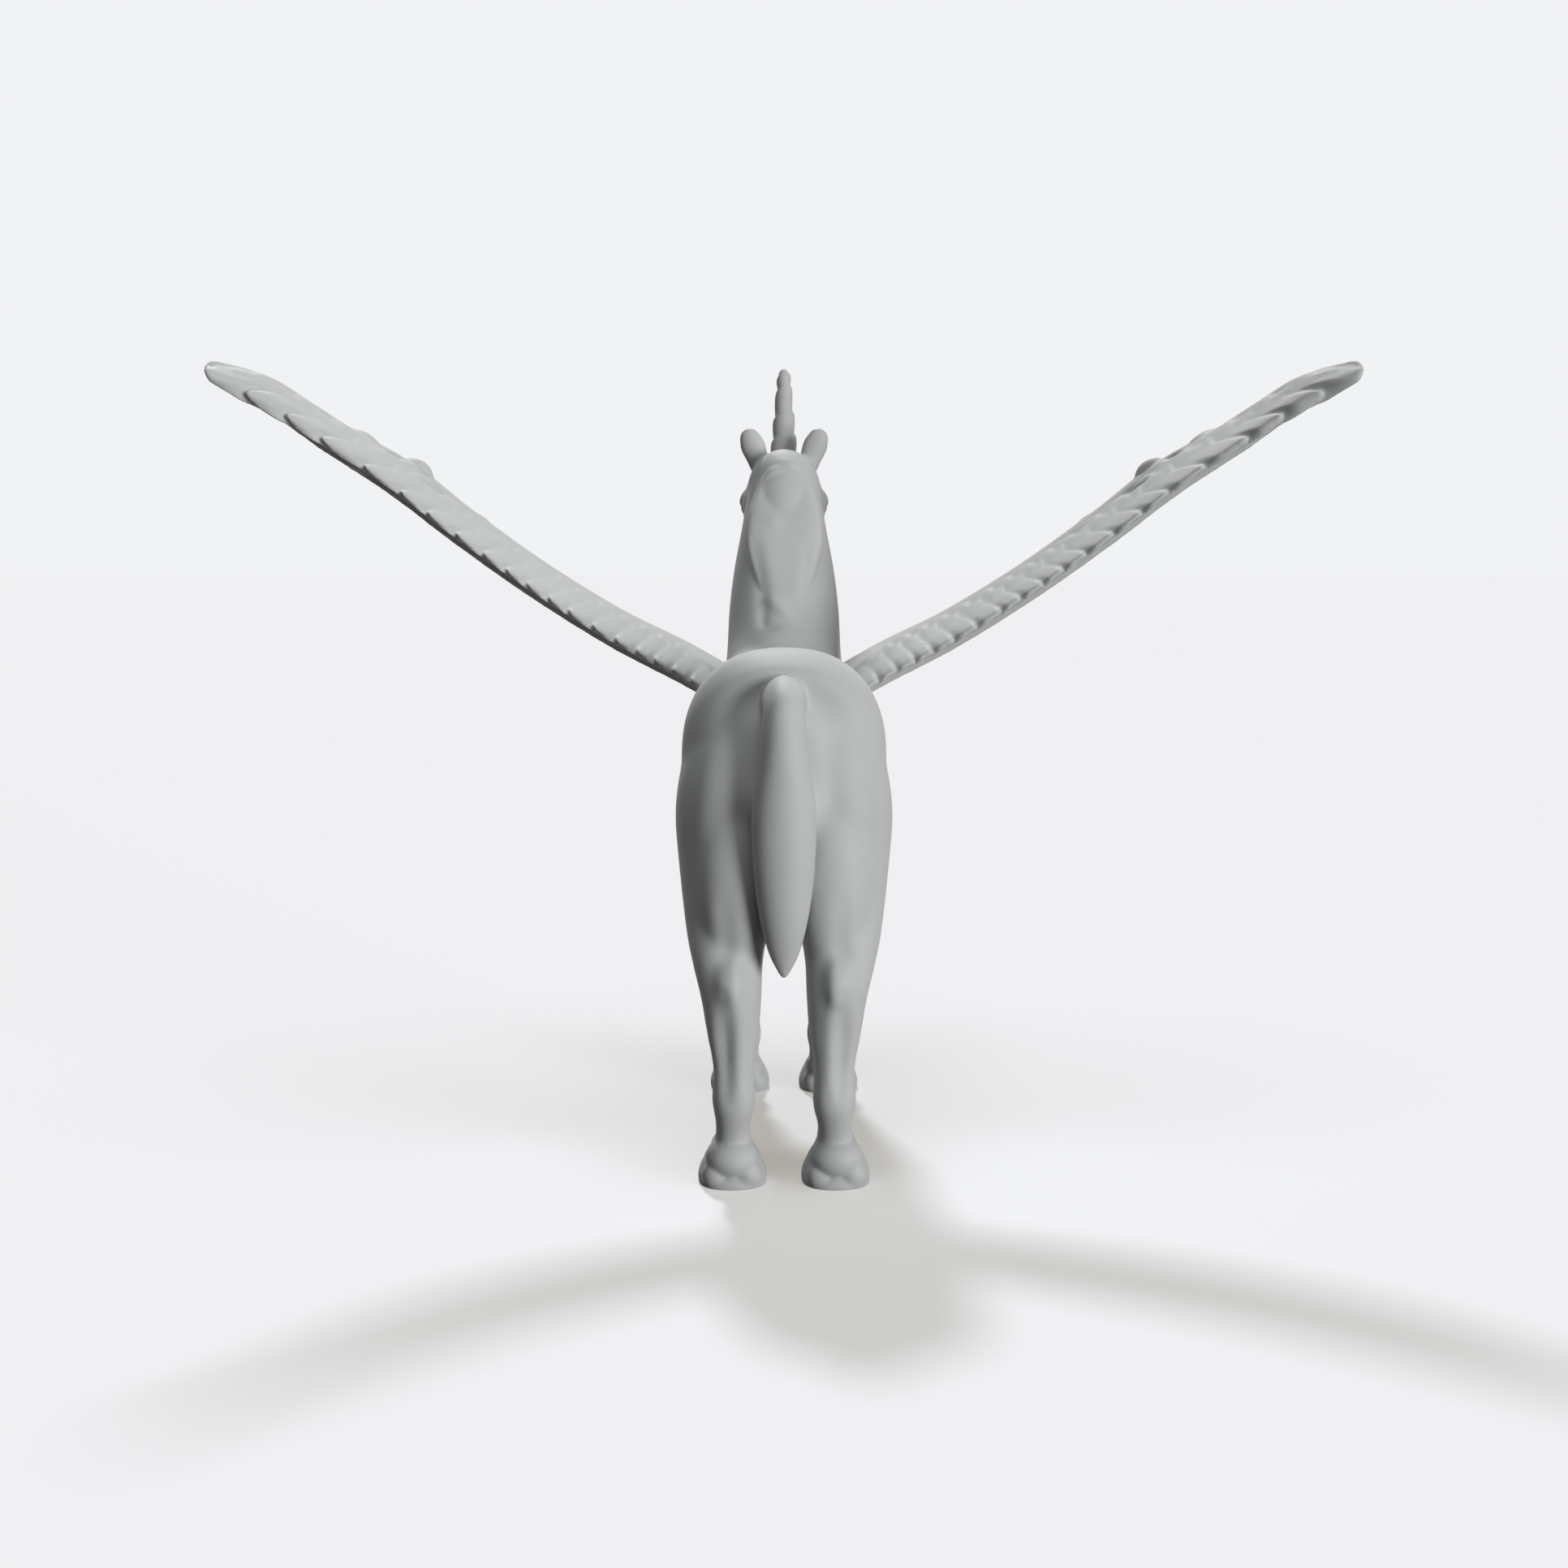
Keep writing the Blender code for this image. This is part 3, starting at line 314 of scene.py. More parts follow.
def add_trunk(bm):
    """Rump, barrel and chest, from the buttocks to the breast."""
    stations = (
        trunk_station(BUTTOCK_Y, CROUP_TOP - 0.010, 0.068, 0.006),
        trunk_station(BUTTOCK_Y - 0.004, CROUP_TOP - 0.0045, 0.060, HIP_HALF_WIDTH - 0.006),
        trunk_station(BUTTOCK_Y - 0.011, CROUP_TOP - 0.001, FLANK_BOTTOM, HIP_HALF_WIDTH - 0.0015),
        trunk_station(BUTTOCK_Y - 0.020, CROUP_TOP, FLANK_BOTTOM, HIP_HALF_WIDTH - 0.001),
        trunk_station(
            BUTTOCK_Y - 0.031, CROUP_TOP - 0.003, FLANK_BOTTOM - 0.001, BARREL_HALF_WIDTH - 0.0005
        ),
        trunk_station(-0.003, BACK_TOP, BELLY_BOTTOM + 0.001, BARREL_HALF_WIDTH),
        trunk_station(-0.016, BACK_TOP + 0.0015, BELLY_BOTTOM, BARREL_HALF_WIDTH - 0.0008),
        trunk_station(CHEST_Y + 0.020, WITHERS_TOP, BELLY_BOTTOM + 0.0005, CHEST_HALF_WIDTH + 0.001),
        trunk_station(CHEST_Y + 0.010, WITHERS_TOP - 0.003, BELLY_BOTTOM + 0.003, CHEST_HALF_WIDTH),
        trunk_station(CHEST_Y + 0.003, WITHERS_TOP - 0.010, BELLY_BOTTOM + 0.008, CHEST_HALF_WIDTH - 0.003),
        trunk_station(CHEST_Y, WITHERS_TOP - 0.017, BELLY_BOTTOM + 0.014, 0.006),
    )
    add_loft(bm, stations, count=120, sides=96, fullness=2.35)


def add_hind_leg(bm):
    """Thigh, gaskin, hock, cannon and pastern, without the hoof."""
    x = TRACK_HALF
    y = REAR_HOOF_Y
    stations = (
        (x - 0.0002, y + 0.0006, 0.0030, REAR_PASTERN_HALF + 0.0006, 0.0042),
        (x - 0.0002, y + 0.0014, HOOF_HEIGHT, REAR_PASTERN_HALF + 0.0003, 0.0036),
        (x - 0.0002, y + 0.0028, REAR_PASTERN_Z, REAR_PASTERN_HALF, 0.0032),
        (x - 0.0004, y + 0.0044, REAR_FETLOCK_Z, REAR_FETLOCK_HALF, 0.0040),
        (x - 0.0004, y + 0.0050, REAR_FETLOCK_Z + 0.006, REAR_CANNON_HALF, 0.0034),
        (x - 0.0003, y + 0.0052, HOCK_Z - 0.007, REAR_CANNON_HALF + 0.0009, 0.0038),
        (x, y + 0.0048, HOCK_Z, HOCK_HALF, 0.0055),
        (x + 0.0006, y + 0.0036, HOCK_Z + 0.0060, HOCK_HALF + 0.0009, 0.0053),
        (x + 0.0008, y - 0.0002, GASKIN_Z, GASKIN_HALF, 0.0078),
        (x + 0.0006, y - 0.0045, STIFLE_Z, GASKIN_HALF + 0.0015, 0.0122),
        (x + 0.0004, y - 0.0072, STIFLE_Z + 0.010, GASKIN_HALF + 0.0024, 0.0150),
        (x - 0.0004, y - 0.0085, STIFLE_Z + 0.019, GASKIN_HALF + 0.0015, 0.0142),
        (x - 0.0020, y - 0.0090, STIFLE_Z + 0.028, GASKIN_HALF - 0.0015, 0.0095),
    )
    add_loft(bm, stations, count=120, sides=64, fullness=2.1)
    point_of_hock = (x + 0.0002, y + 0.0092, HOCK_Z + 0.0030)
    add_ball(bm, point_of_hock, (0.0026, 0.0026, 0.0046), (radians(12), 0, 0))
    stifle = (x + 0.0020, y - 0.0150, STIFLE_Z + 0.007)
    add_ball(bm, stifle, (0.0058, 0.0052, 0.0090), (radians(-22), 0, 0))
    hamstring = (x - 0.0008, y + 0.0012, STIFLE_Z + 0.002)
    add_ball(bm, hamstring, (0.0076, 0.0082, 0.0200), (radians(9), 0, 0))


def add_front_leg(bm):
    """Shoulder, forearm, knee, cannon and pastern, without the hoof."""
    x = TRACK_HALF
    y = FRONT_HOOF_Y
    stations = (
        (x, y + 0.0006, 0.0030, FRONT_PASTERN_HALF + 0.0002, 0.0042),
        (x, y + 0.0014, HOOF_HEIGHT - 0.001, FRONT_PASTERN_HALF, 0.0036),
        (x, y + 0.0024, FRONT_PASTERN_Z, FRONT_PASTERN_HALF, 0.0032),
        (x, y + 0.0036, FRONT_FETLOCK_Z, FRONT_FETLOCK_HALF, 0.0040),
        (x, y + 0.0038, FRONT_FETLOCK_Z + 0.005, FRONT_CANNON_HALF, 0.0034),
        (x, y + 0.0036, KNEE_Z - 0.005, FRONT_CANNON_HALF, 0.0034),
        (x, y + 0.0028, KNEE_Z, KNEE_HALF, 0.0045),
        (x, y + 0.0030, KNEE_Z + 0.005, KNEE_HALF - 0.0002, 0.0043),
        (x + 0.0002, y + 0.0034, (KNEE_Z + ELBOW_Z) / 2, FOREARM_HALF - 0.0006, 0.0056),
        (x + 0.0004, y + 0.0040, ELBOW_Z, FOREARM_HALF, 0.0082),
        (x + 0.0004, y + 0.0024, ELBOW_Z + 0.010, FOREARM_HALF + 0.0002, 0.0108),
        (x, y + 0.0020, ELBOW_Z + 0.022, FOREARM_HALF - 0.0004, 0.0104),
        (x - 0.0014, y + 0.0055, ELBOW_Z + 0.034, FOREARM_HALF - 0.0014, 0.0070),
    )
    add_loft(bm, stations, count=120, sides=64, fullness=2.1)
    add_ball(bm, (x + 0.0003, y + 0.0108, ELBOW_Z + 0.002), (0.0035, 0.0034, 0.0058))
    add_ball(bm, (x - 0.0022, y - 0.0070, ELBOW_Z + 0.015), (0.0060, 0.0062, 0.0105), (radians(10), 0, 0))
    add_ball(bm, (x + 0.0002, y + 0.0002, KNEE_Z), (0.0034, 0.0020, 0.0046))


def add_hoof(bm, y):
    """A bell-shaped hoof with two heel bulbs, its ground line at y."""
    x = TRACK_HALF
    wide = HOOF_HALF_WIDTH
    long = HOOF_HALF_LENGTH
    stations = (
        (x, y - 0.0007, -0.0014, wide - 0.0003, long - 0.0003),
        (x, y - 0.0007, 0.0000, wide, long),
        (x, y - 0.0006, 0.0018, wide + 0.0001, long),
        (x, y - 0.0002, 0.0038, wide - 0.0007, long - 0.0007),
        (x, y + 0.0006, 0.0060, wide - 0.0019, long - 0.0016),
        (x, y + 0.0013, HOOF_HEIGHT, wide - 0.0026, long - 0.0026),
        (x, y + 0.0015, HOOF_HEIGHT + 0.0008, wide - 0.0040, long - 0.0040),
    )
    add_loft(bm, stations, count=50, sides=72, fullness=2.2)
    add_ball(bm, (x, y + long * 0.42, 0.0054), (wide * 0.78, 0.0042, 0.0036), (radians(-20), 0, 0))
    for side in (-1, 1):
        heel = (x + side * wide * 0.46, y + long * 0.52, 0.0022)
        add_ball(bm, heel, (HEEL_RADIUS * 0.95, HEEL_RADIUS * 0.85, HEEL_RADIUS), (radians(-12), 0, 0))


def neck_stations():
    """Stations of the upright neck, from inside the chest to the poll."""
    return (
        (0, -0.0230, 0.0700, NECK_BASE_HALF, 0.0160),
        (0, -0.0300, 0.0800, NECK_BASE_HALF + 0.0008, 0.0176),
        (0, -0.0368, 0.0900, NECK_BASE_HALF + 0.0001, 0.0150),
        (0, -0.0404, 0.0990, NECK_BASE_HALF - 0.0003, 0.0136),
        (0, -0.0432, 0.1075, NECK_BASE_HALF - 0.0013, 0.0128),
        (0, POLL_Y + 0.0044, POLL_TOP - 0.0170, NECK_TOP_HALF + 0.0006, 0.0118),
        (0, POLL_Y + 0.0018, POLL_TOP - 0.0110, NECK_TOP_HALF - 0.0004, 0.0096),
        (0, POLL_Y + 0.0002, POLL_TOP - 0.0085, NECK_TOP_HALF - 0.0012, 0.0070),
    )


def add_neck(bm):
    """The neck as a thick, slightly arched loft with a rounded poll."""
    add_loft(bm, neck_stations(), count=90, sides=80, fullness=2.1)
    poll = (0, POLL_Y - 0.0002, POLL_TOP - 0.0090)
    add_ball(bm, poll, (NECK_TOP_HALF - 0.0004, 0.0096, 0.0090))


def crest_point(height):
    """The back edge of the neck at a height above the ground."""
    rows = smooth_rows(neck_stations(), 120)
    row = rows[np.argmin(np.abs(rows[:, 2] - height))]
    return row[1] + row[4] * 0.96


def head_point(along, out=0.0, below=0.0):
    """A point of the head: along its axis from the poll, out to +X, and below the axis."""
    start_z = POLL_TOP - 0.0075
    y = POLL_Y - 0.0010 - along * cos(HEAD_SLOPE) + below * sin(HEAD_SLOPE)
    z = start_z - along * sin(HEAD_SLOPE) - below * cos(HEAD_SLOPE)
    return (out, y, z)


def add_head(bm):
    """Skull, muzzle and chin, with a jowl, a brow and a nostril bulge on each side."""
    end = HEAD_LENGTH
    stations = (
        (*head_point(-0.001), BROW_HALF_WIDTH - 0.0018, 0.0058),
        (*head_point(0.004), BROW_HALF_WIDTH - 0.0004, 0.0074),
        (*head_point(0.010, 0, 0.0004), BROW_HALF_WIDTH - 0.0005, 0.0080),
        (*head_point(0.017), BROW_HALF_WIDTH - 0.0022, 0.0066),
        (*head_point(0.024, 0, -0.0004), MUZZLE_HALF_WIDTH + 0.0003, 0.0050),
        (*head_point(end - 0.008, 0, -0.0002), MUZZLE_HALF_WIDTH - 0.0004, 0.0041),
        (*head_point(end - 0.004), MUZZLE_HALF_WIDTH, 0.0041),
        (*head_point(end - 0.001), MUZZLE_HALF_WIDTH - 0.0006, 0.0034),
        (*head_point(end), MUZZLE_HALF_WIDTH - 0.0020, 0.0020),
    )
    add_loft(bm, stations, count=90, sides=72, fullness=2.2)
    chin = head_point(end - 0.0056, 0, 0.0030)
    add_ball(bm, chin, (MUZZLE_HALF_WIDTH - 0.0012, 0.0026, 0.0019), (-HEAD_SLOPE / 2, 0, 0))
    for side in (-1, 1):
        jowl = head_point(0.0086, side * (BROW_HALF_WIDTH - 0.0042), 0.0046)
        add_ball(bm, jowl, (0.0039, 0.0068, 0.0068))
        brow = head_point(0.0080, side * (BROW_HALF_WIDTH - 0.0020), -0.0034)
        add_ball(bm, brow, (0.0028, 0.0040, 0.0024), (HEAD_SLOPE, 0, 0))
        nostril = head_point(end - 0.0035, side * (MUZZLE_HALF_WIDTH - 0.0012), -0.0012)
        add_ball(bm, nostril, (0.0017, 0.0026, 0.0019), (HEAD_SLOPE, 0, 0))


def add_eye(bm):
    """The +X eyeball, half sunk under the brow."""
    centre = head_point(0.0105, BROW_HALF_WIDTH - 0.0017, -0.0018)
    add_ball(bm, centre, (EYE_RADIUS * 0.8, EYE_RADIUS, EYE_RADIUS))


def add_tail(bm):
    """A smooth spindle that leaves the croup and hangs against the thighs."""
    y = BUTTOCK_Y + 0.0008
    wide = TAIL_HALF_WIDTH
    deep = TAIL_HALF_DEPTH
    fall = TAIL_TOP - TAIL_TIP_Z
    stations = (
        (0, y - 0.0130, TAIL_TOP - 0.0030, 0.0040, 0.0040),
        (0, y - 0.0070, TAIL_TOP - 0.0026, 0.0040, 0.0044),
        (0, y - 0.0015, TAIL_TOP - 0.0042, 0.0039, 0.0048),
        (0, y + 0.0010, TAIL_TOP - 0.0074, 0.0040, 0.0050),
        (0, y + 0.0026, TAIL_TOP - 0.0120, 0.0044, 0.0048),
        (0, y + 0.0036, TAIL_TOP - fall * 0.42, wide, deep + 0.0004),
        (0, y + 0.0040, TAIL_TOP - fall * 0.60, wide - 0.0002, deep),
        (0, y + 0.0036, TAIL_TOP - fall * 0.77, wide - 0.0012, deep - 0.0006),
        (0, y + 0.0028, TAIL_TOP - fall * 0.90, wide - 0.0027, deep - 0.0018),
        (0, y + 0.0024, TAIL_TIP_Z + 0.0012, 0.0011, 0.0011),
        (0, y + 0.0024, TAIL_TIP_Z, 0.0003, 0.0003),
    )
    add_loft(bm, stations, count=120, sides=56)


def add_mane(bm):
    """A raised band down the crest of the neck, widest near the middle of its height."""
    stations = []
    for down, half_width, half_depth in (
        (0.0024, 0.0010, 0.0008),
        (0.0050, 0.0036, 0.0026),
        (0.0095, 0.0060, 0.0030),
        (0.0150, 0.0076, 0.0028),
        (0.0200, 0.0078, 0.0028),
        (0.0245, 0.0068, 0.0029),
        (0.0290, 0.0054, 0.0028),
        (0.0320, 0.0040, 0.0022),
    ):
        height = POLL_TOP - down
        stations.append((0, crest_point(height) - 0.0012, height, half_width, half_depth))
    add_loft(bm, stations, count=80, sides=72, fullness=3.4)


def ear_frame():
    """Foot and direction of the +X ear."""
    foot = Vector((0.0046, POLL_Y - 0.0030, POLL_TOP - 0.0045))
    way = Vector((sin(EAR_SPREAD), 0, cos(EAR_SPREAD)))
    return foot, way


def add_ear(bm):
    """A blunt paddle that leans outwards."""
    foot, way = ear_frame()
    wide = EAR_HALF_WIDTH
    stations = []
    for share, half_width, half_depth in (
        (0.00, wide - 0.0003, 0.0019),
        (0.30, wide - 0.0001, 0.0018),
        (0.60, wide + 0.0002, 0.0016),
        (0.82, wide - 0.0003, 0.0013),
        (0.94, wide - 0.0009, 0.0009),
        (1.00, 0.0004, 0.0004),
    ):
        centre = foot + way * EAR_LENGTH * share
        stations.append((*centre, half_width, half_depth))
    add_loft(bm, stations, count=50, sides=40)


def horn_frame():
    """Foot and direction of the horn."""
    foot = Vector(head_point(0.0050, 0, -0.0050))
    way = Vector((0, -sin(HORN_LEAN), cos(HORN_LEAN)))
    return foot, way


def add_horn(bm, count=400, sides=64):
    """A tapering cone with one raised spiral, like stacked cups whose rims are the ledges."""
    foot, way = horn_frame()
    wide = Vector((1, 0, 0))
    deep = way.cross(wide)
    rings = []
    for share in np.linspace(0, 1, count + 1):
        plain = HORN_BASE_RADIUS + (HORN_TIP_RADIUS - HORN_BASE_RADIUS) * share
        blunt = min(1.0, (1.0001 - share) / 0.05) ** 0.5
        cups = np.interp(share, HORN_LEDGES, range(len(HORN_LEDGES)))
        ring = []
        for k in range(sides):
            angle = 2 * pi * k / sides
            turn = (angle - pi / 2 + HORN_UNEVENNESS * cos(angle)) / (2 * pi)
            phase = (cups - turn) % 1.0
            ridge = HORN_RIDGE * (eased(phase, -0.2, 0.8) - 0.15 * eased(phase, 0.9, 1.0) - 0.55)
            radius = (plain + ridge * (1 - 0.4 * share)) * blunt
            place = foot + way * HORN_LENGTH * share
            ring.append(place + wide * radius * cos(angle) + deep * radius * sin(angle))
        rings.append(ring)
    add_rings(bm, rings)


# The wing's front and rear edges: x, y of the front, z of the front, y of the rear, z of the rear
WING_EDGES = (
    (WING_ROOT_X - 0.0050, -0.0190, 0.0834, 0.0004, 0.0796),
    (WING_ROOT_X, -0.0200, 0.0860, 0.0010, 0.0824),
    (0.0200, -0.0225, 0.0914, 0.0020, 0.0884),
    (0.0330, -0.0240, 0.0979, 0.0022, 0.0954),
    (0.0480, -0.0250, 0.1070, 0.0020, 0.1049),
    (0.0620, -0.0250, 0.1171, 0.0024, 0.1149),
    (WRIST_X, -0.0228, 0.1266, 0.0034, 0.1241),
    (WING_HALF_SPAN - 0.0203, -0.0150, 0.1344, 0.0050, 0.1320),
    (WING_HALF_SPAN - 0.0093, -0.0050, 0.1415, 0.0068, 0.1388),
    (WING_HALF_SPAN - 0.0010, 0.0028, 0.1442, 0.0090, 0.1430),
    (WING_HALF_SPAN, 0.0034, 0.1444, 0.0088, 0.1434),
)


def wing_point(x, chord):
    """A point of the wing's middle surface: chord 0 is the front edge and 1 the rear edge."""
    rows = smooth_rows(WING_EDGES, 400)
    row = rows[np.argmin(np.abs(rows[:, 0] - x))]
    front = np.array((row[0], row[1], row[2]))
    rear = np.array((row[0], row[3], row[4]))
    arch = np.array((0, 0, WING_ARCH * 4 * chord * (1 - chord)))
    return front + (rear - front) * chord + arch


def feather_number(x):
    """Counts the feathers outwards. Each whole number is the crease at a feather's outer edge."""
    return np.interp(x, CREASES, range(len(CREASES)))


def standing(number, fall=0.5):
    """How far a feather stands out, from its tucked inner side to its raised outer edge.

    fall is 0 at its upper face and 1 at its lower one, which stays tucked for longer.
    """
    phase = number % 1.0
    return eased(phase, -0.10, 0.30 + 0.90 * fall**2) * (1 - eased(phase, 0.90, 1.0))


def sweep_at(x):
    """How far outwards a feather runs between the wing's front and rear edge."""
    return ROOT_SWEEP + (TIP_SWEEP - ROOT_SWEEP) * np.clip(x / WING_HALF_SPAN, 0, 1) ** 2.2


def covert_height(x, chord, row_end, shift):
    """A row of short feathers whose scalloped tips end at the chord row_end."""
    number = feather_number(x + sweep_at(x) * (row_end - chord)) + shift
    scallop = np.sin(pi * (number % 1.0)) ** 0.7
    end = row_end + COVERT_SCALLOP * (scallop - 0.5)
    ridge = 0.5 * (1 - standing(number)) * eased(chord, row_end - 0.30, row_end - 0.05)
    return COVERT_STEP * (1 - ridge) * (1 - eased(chord, end - 0.03, end + 0.03))


def layer_ring(row, top, bottom, layer, sides):
    """One section of a feather layer, numbered from 0 for the upper one.

    top and bottom are measured from the wing's middle surface. The layer stays clear of the
    wing's front and rear edge by its gaps, its lower rear edge is undercut, its creases are
    shifted by a share of a feather, and it carries its share of the lobes' full relief.
    """
    x, front_y, front_z, rear_y, rear_z = row
    angle = np.linspace(0, 2 * pi, sides, endpoint=False)
    blunt = np.sqrt(1 - (1 - np.clip((WING_HALF_SPAN - x) / TIP_ROUND, 0.10, 1)) ** 2)
    over = np.sign(np.cos(angle)) * np.abs(np.cos(angle)) ** EDGE_SQUARENESS * blunt
    up = np.sign(np.sin(angle)) * np.abs(np.sin(angle)) ** EDGE_SQUARENESS
    deep = rear_y - front_y
    front_gap = FRONT_GAPS[layer]
    rear_gap = REAR_GAPS[layer]
    chord = (front_gap + (deep - front_gap - rear_gap) * (0.5 + 0.5 * over)) / deep
    fall = (1 - up) / 2
    slant = ROOT_SLANT + (TIP_SLANT - ROOT_SLANT) * x / WING_HALF_SPAN
    number = feather_number(x + sweep_at(x) * (1 - chord) + slant * fall**CREASE_CURVE)
    sunk = (1 - standing(number + CREASE_SHIFTS[layer], fall)) * LOBES[layer]
    rear = 1 - eased(deep * (1 - chord), 0.0008, 0.0050)
    middle = eased(chord, 0.25, 0.75)
    height = (top + bottom) / 2 + (top - bottom) / 2 * up * blunt
    height = height - TOP_RELIEF * sunk * middle * np.clip(up, 0, 1)
    under = CREASE_RISE * rear + UNDER_RELIEF * np.maximum(middle - rear, 0)
    height = height + under * sunk * np.clip(-up, 0, 1)
    if layer == 0:
        cover = sum(covert_height(x, chord, end, shift) for end, shift in COVERT_ROWS)
        height = height + cover * np.clip(up, 0, 1) * blunt
    y = front_y + deep * chord - (CREASE_DEPTH * sunk + UNDERCUTS[layer] * fall) * rear
    z = front_z + (rear_z - front_z) * chord + WING_ARCH * 4 * chord * (1 - chord) + height
    return np.column_stack((np.full(sides, x), y, z))


def add_wing_layer(bm, layer, profile, steps=440, sides=112):
    """One feather layer of the wing. profile holds rows of x, top and bottom."""
    profile = np.array(profile)
    rings = []
    for row in smooth_rows(WING_EDGES, steps):
        top = np.interp(row[0], profile[:, 0], profile[:, 1])
        bottom = np.interp(row[0], profile[:, 0], profile[:, 2])
        rings.append(layer_ring(row, top, bottom, layer, sides))
    add_rings(bm, rings)


def add_wing(bm):
    """The +X wing: an upper layer of lobed flight feathers, two thin layers under it and the arm."""
    start = WING_ROOT_X - 0.0060
    upper = (
        (start, 0.0009, -0.0012),
        (WRIST_X, 0.0009, -0.0012),
        (WING_HALF_SPAN - 0.0203, 0.0013, -0.0014),
        (WING_HALF_SPAN - 0.0113, 0.0018, -0.0018),
        (WING_HALF_SPAN - 0.0063, 0.0015, -0.0022),
        (WING_HALF_SPAN - 0.0028, 0.0010, -0.0013),
        (WING_HALF_SPAN, 0.0008, -0.0006),
    )
    first_under = (
        (start, 0.0000, -0.0022),
        (WING_HALF_SPAN - 0.0193, 0.0000, -0.0024),
        (WING_HALF_SPAN - 0.0113, 0.0006, -0.0025),
        (WING_HALF_SPAN - 0.0063, 0.0006, -0.0014),
        (WING_HALF_SPAN, 0.0005, -0.0003),
    )
    second_under = (
        (start, -0.0010, -0.0032),
        (WING_HALF_SPAN - 0.0193, -0.0010, -0.0034),
        (WING_HALF_SPAN - 0.0113, 0.0002, -0.0028),
        (WING_HALF_SPAN - 0.0063, 0.0005, -0.0012),
        (WING_HALF_SPAN, 0.0004, -0.0002),
    )
    for layer, profile in enumerate((upper, first_under, second_under)):
        add_wing_layer(bm, layer, profile)
    add_wing_arm(bm)


def add_wing_arm(bm):
    """The thick front of the wing, with its knuckles tilted along it."""
    thick = ARM_HALF_THICKNESS
    inner = wing_point(WING_ROOT_X, 0.30)
    stations = [
        (inner[0] - 0.0060, inner[1] + 0.002, inner[2] - 0.0040, 0.0070, thick + 0.0014),
        (inner[0], inner[1] + 0.001, inner[2] - 0.0005, 0.0072, thick + 0.0010),
    ]
    for x, half_chord, half_thick in (
        (0.0200, 0.0056, thick + 0.0002),
        (0.0330, 0.0048, thick),
        (0.0480, 0.0045, thick),
        (0.0620, 0.0043, thick),
        (WRIST_X, 0.0040, thick + 0.0001),
        (WING_HALF_SPAN - 0.0203, 0.0030, thick - 0.0006),
        (WING_HALF_SPAN - 0.0093, 0.0020, thick - 0.0011),
        (WING_HALF_SPAN - 0.0030, 0.0012, thick - 0.0014),
    ):
        stations.append((*wing_point(x, ARM_CHORD), half_chord, half_thick))
    add_loft(bm, stations, across=(0, 1, 0), count=160, sides=48, fullness=2.1)
    for x, long, rise in KNUCKLES:
        knuckle = wing_point(x, KNUCKLE_CHORD)
        along = wing_point(x + long, KNUCKLE_CHORD) - wing_point(x - long, KNUCKLE_CHORD)
        slope = np.arctan2(along[2], along[0])
        add_ball(bm, knuckle, (long * 1.3, long * 0.8, thick + rise), (0, -slope, 0))


def mesh_of(bm, name):
    """A mesh made from bm, which is freed."""
    bmesh.ops.recalc_face_normals(bm, faces=bm.faces)
    mesh = bpy.data.meshes.new(name)
    bm.to_mesh(mesh)
    bm.free()
    return mesh


def modified(mesh, *settings):
    """The mesh after the given modifiers, each as (type, values)."""
    holder = bpy.data.objects.new("holder", mesh)
    bpy.context.scene.collection.objects.link(holder)
    for kind, values in settings:
        modifier = holder.modifiers.new(kind.lower(), kind)
        for name, value in values.items():
            setattr(modifier, name, value)
    graph = bpy.context.evaluated_depsgraph_get()
    made = bpy.data.meshes.new_from_object(holder.evaluated_get(graph))
    bpy.data.objects.remove(holder)
    return made


def fused(mesh, voxel, passes):
    """One skin around all the overlapping masses, softened."""
    remesh = {"mode": "VOXEL", "voxel_size": voxel, "adaptivity": 0.0}
    soften = {"factor": 0.5, "iterations": passes}
    return modified(mesh, ("REMESH", remesh), ("SMOOTH", soften))


def body_mesh():
    """Trunk, legs, neck and head, blended softly into each other."""
    bm = bmesh.new()
    add_hind_leg(bm)
    add_front_leg(bm)
    mirror_all(bm)
    add_trunk(bm)
    add_neck(bm)
    add_head(bm)
    return fused(mesh_of(bm, "body"), BODY_VOXEL, BODY_PASSES)


def press(points, normals, tree, path, width, depth):
    """Presses the skin in by depth along a path, fading over width and towards both ends.

    A negative depth raises the skin.
    """
    places = smooth_rows(path, STROKE_POINTS)
    line = np.array([tree.find_nearest(Vector(place))[0] for place in places])
    low = line.min(axis=0) - STROKE_REACH * width
    high = line.max(axis=0) + STROKE_REACH * width
    near = np.flatnonzero(((points > low) & (points < high)).all(axis=1))
    effect = np.zeros(len(near))
    for index, (start, end) in enumerate(zip(line, line[1:])):
        along = end - start
        share = (points[near] - start) @ along / max(along @ along, 1e-12)
        foot = start + np.clip(share, 0, 1)[:, None] * along
        gaps = np.linalg.norm(points[near] - foot, axis=1)
        fade = sin(pi * (index + 0.5) / (len(line) - 1)) ** 0.7
        effect = np.maximum(effect, fade * np.exp(-((gaps / width) ** 2)))
    points[near] -= normals[near] * (depth * effect)[:, None]


def behind_neck(x, z):
    """A point just behind the neck or mane."""
    return (x, crest_point(z) + 0.004, z)


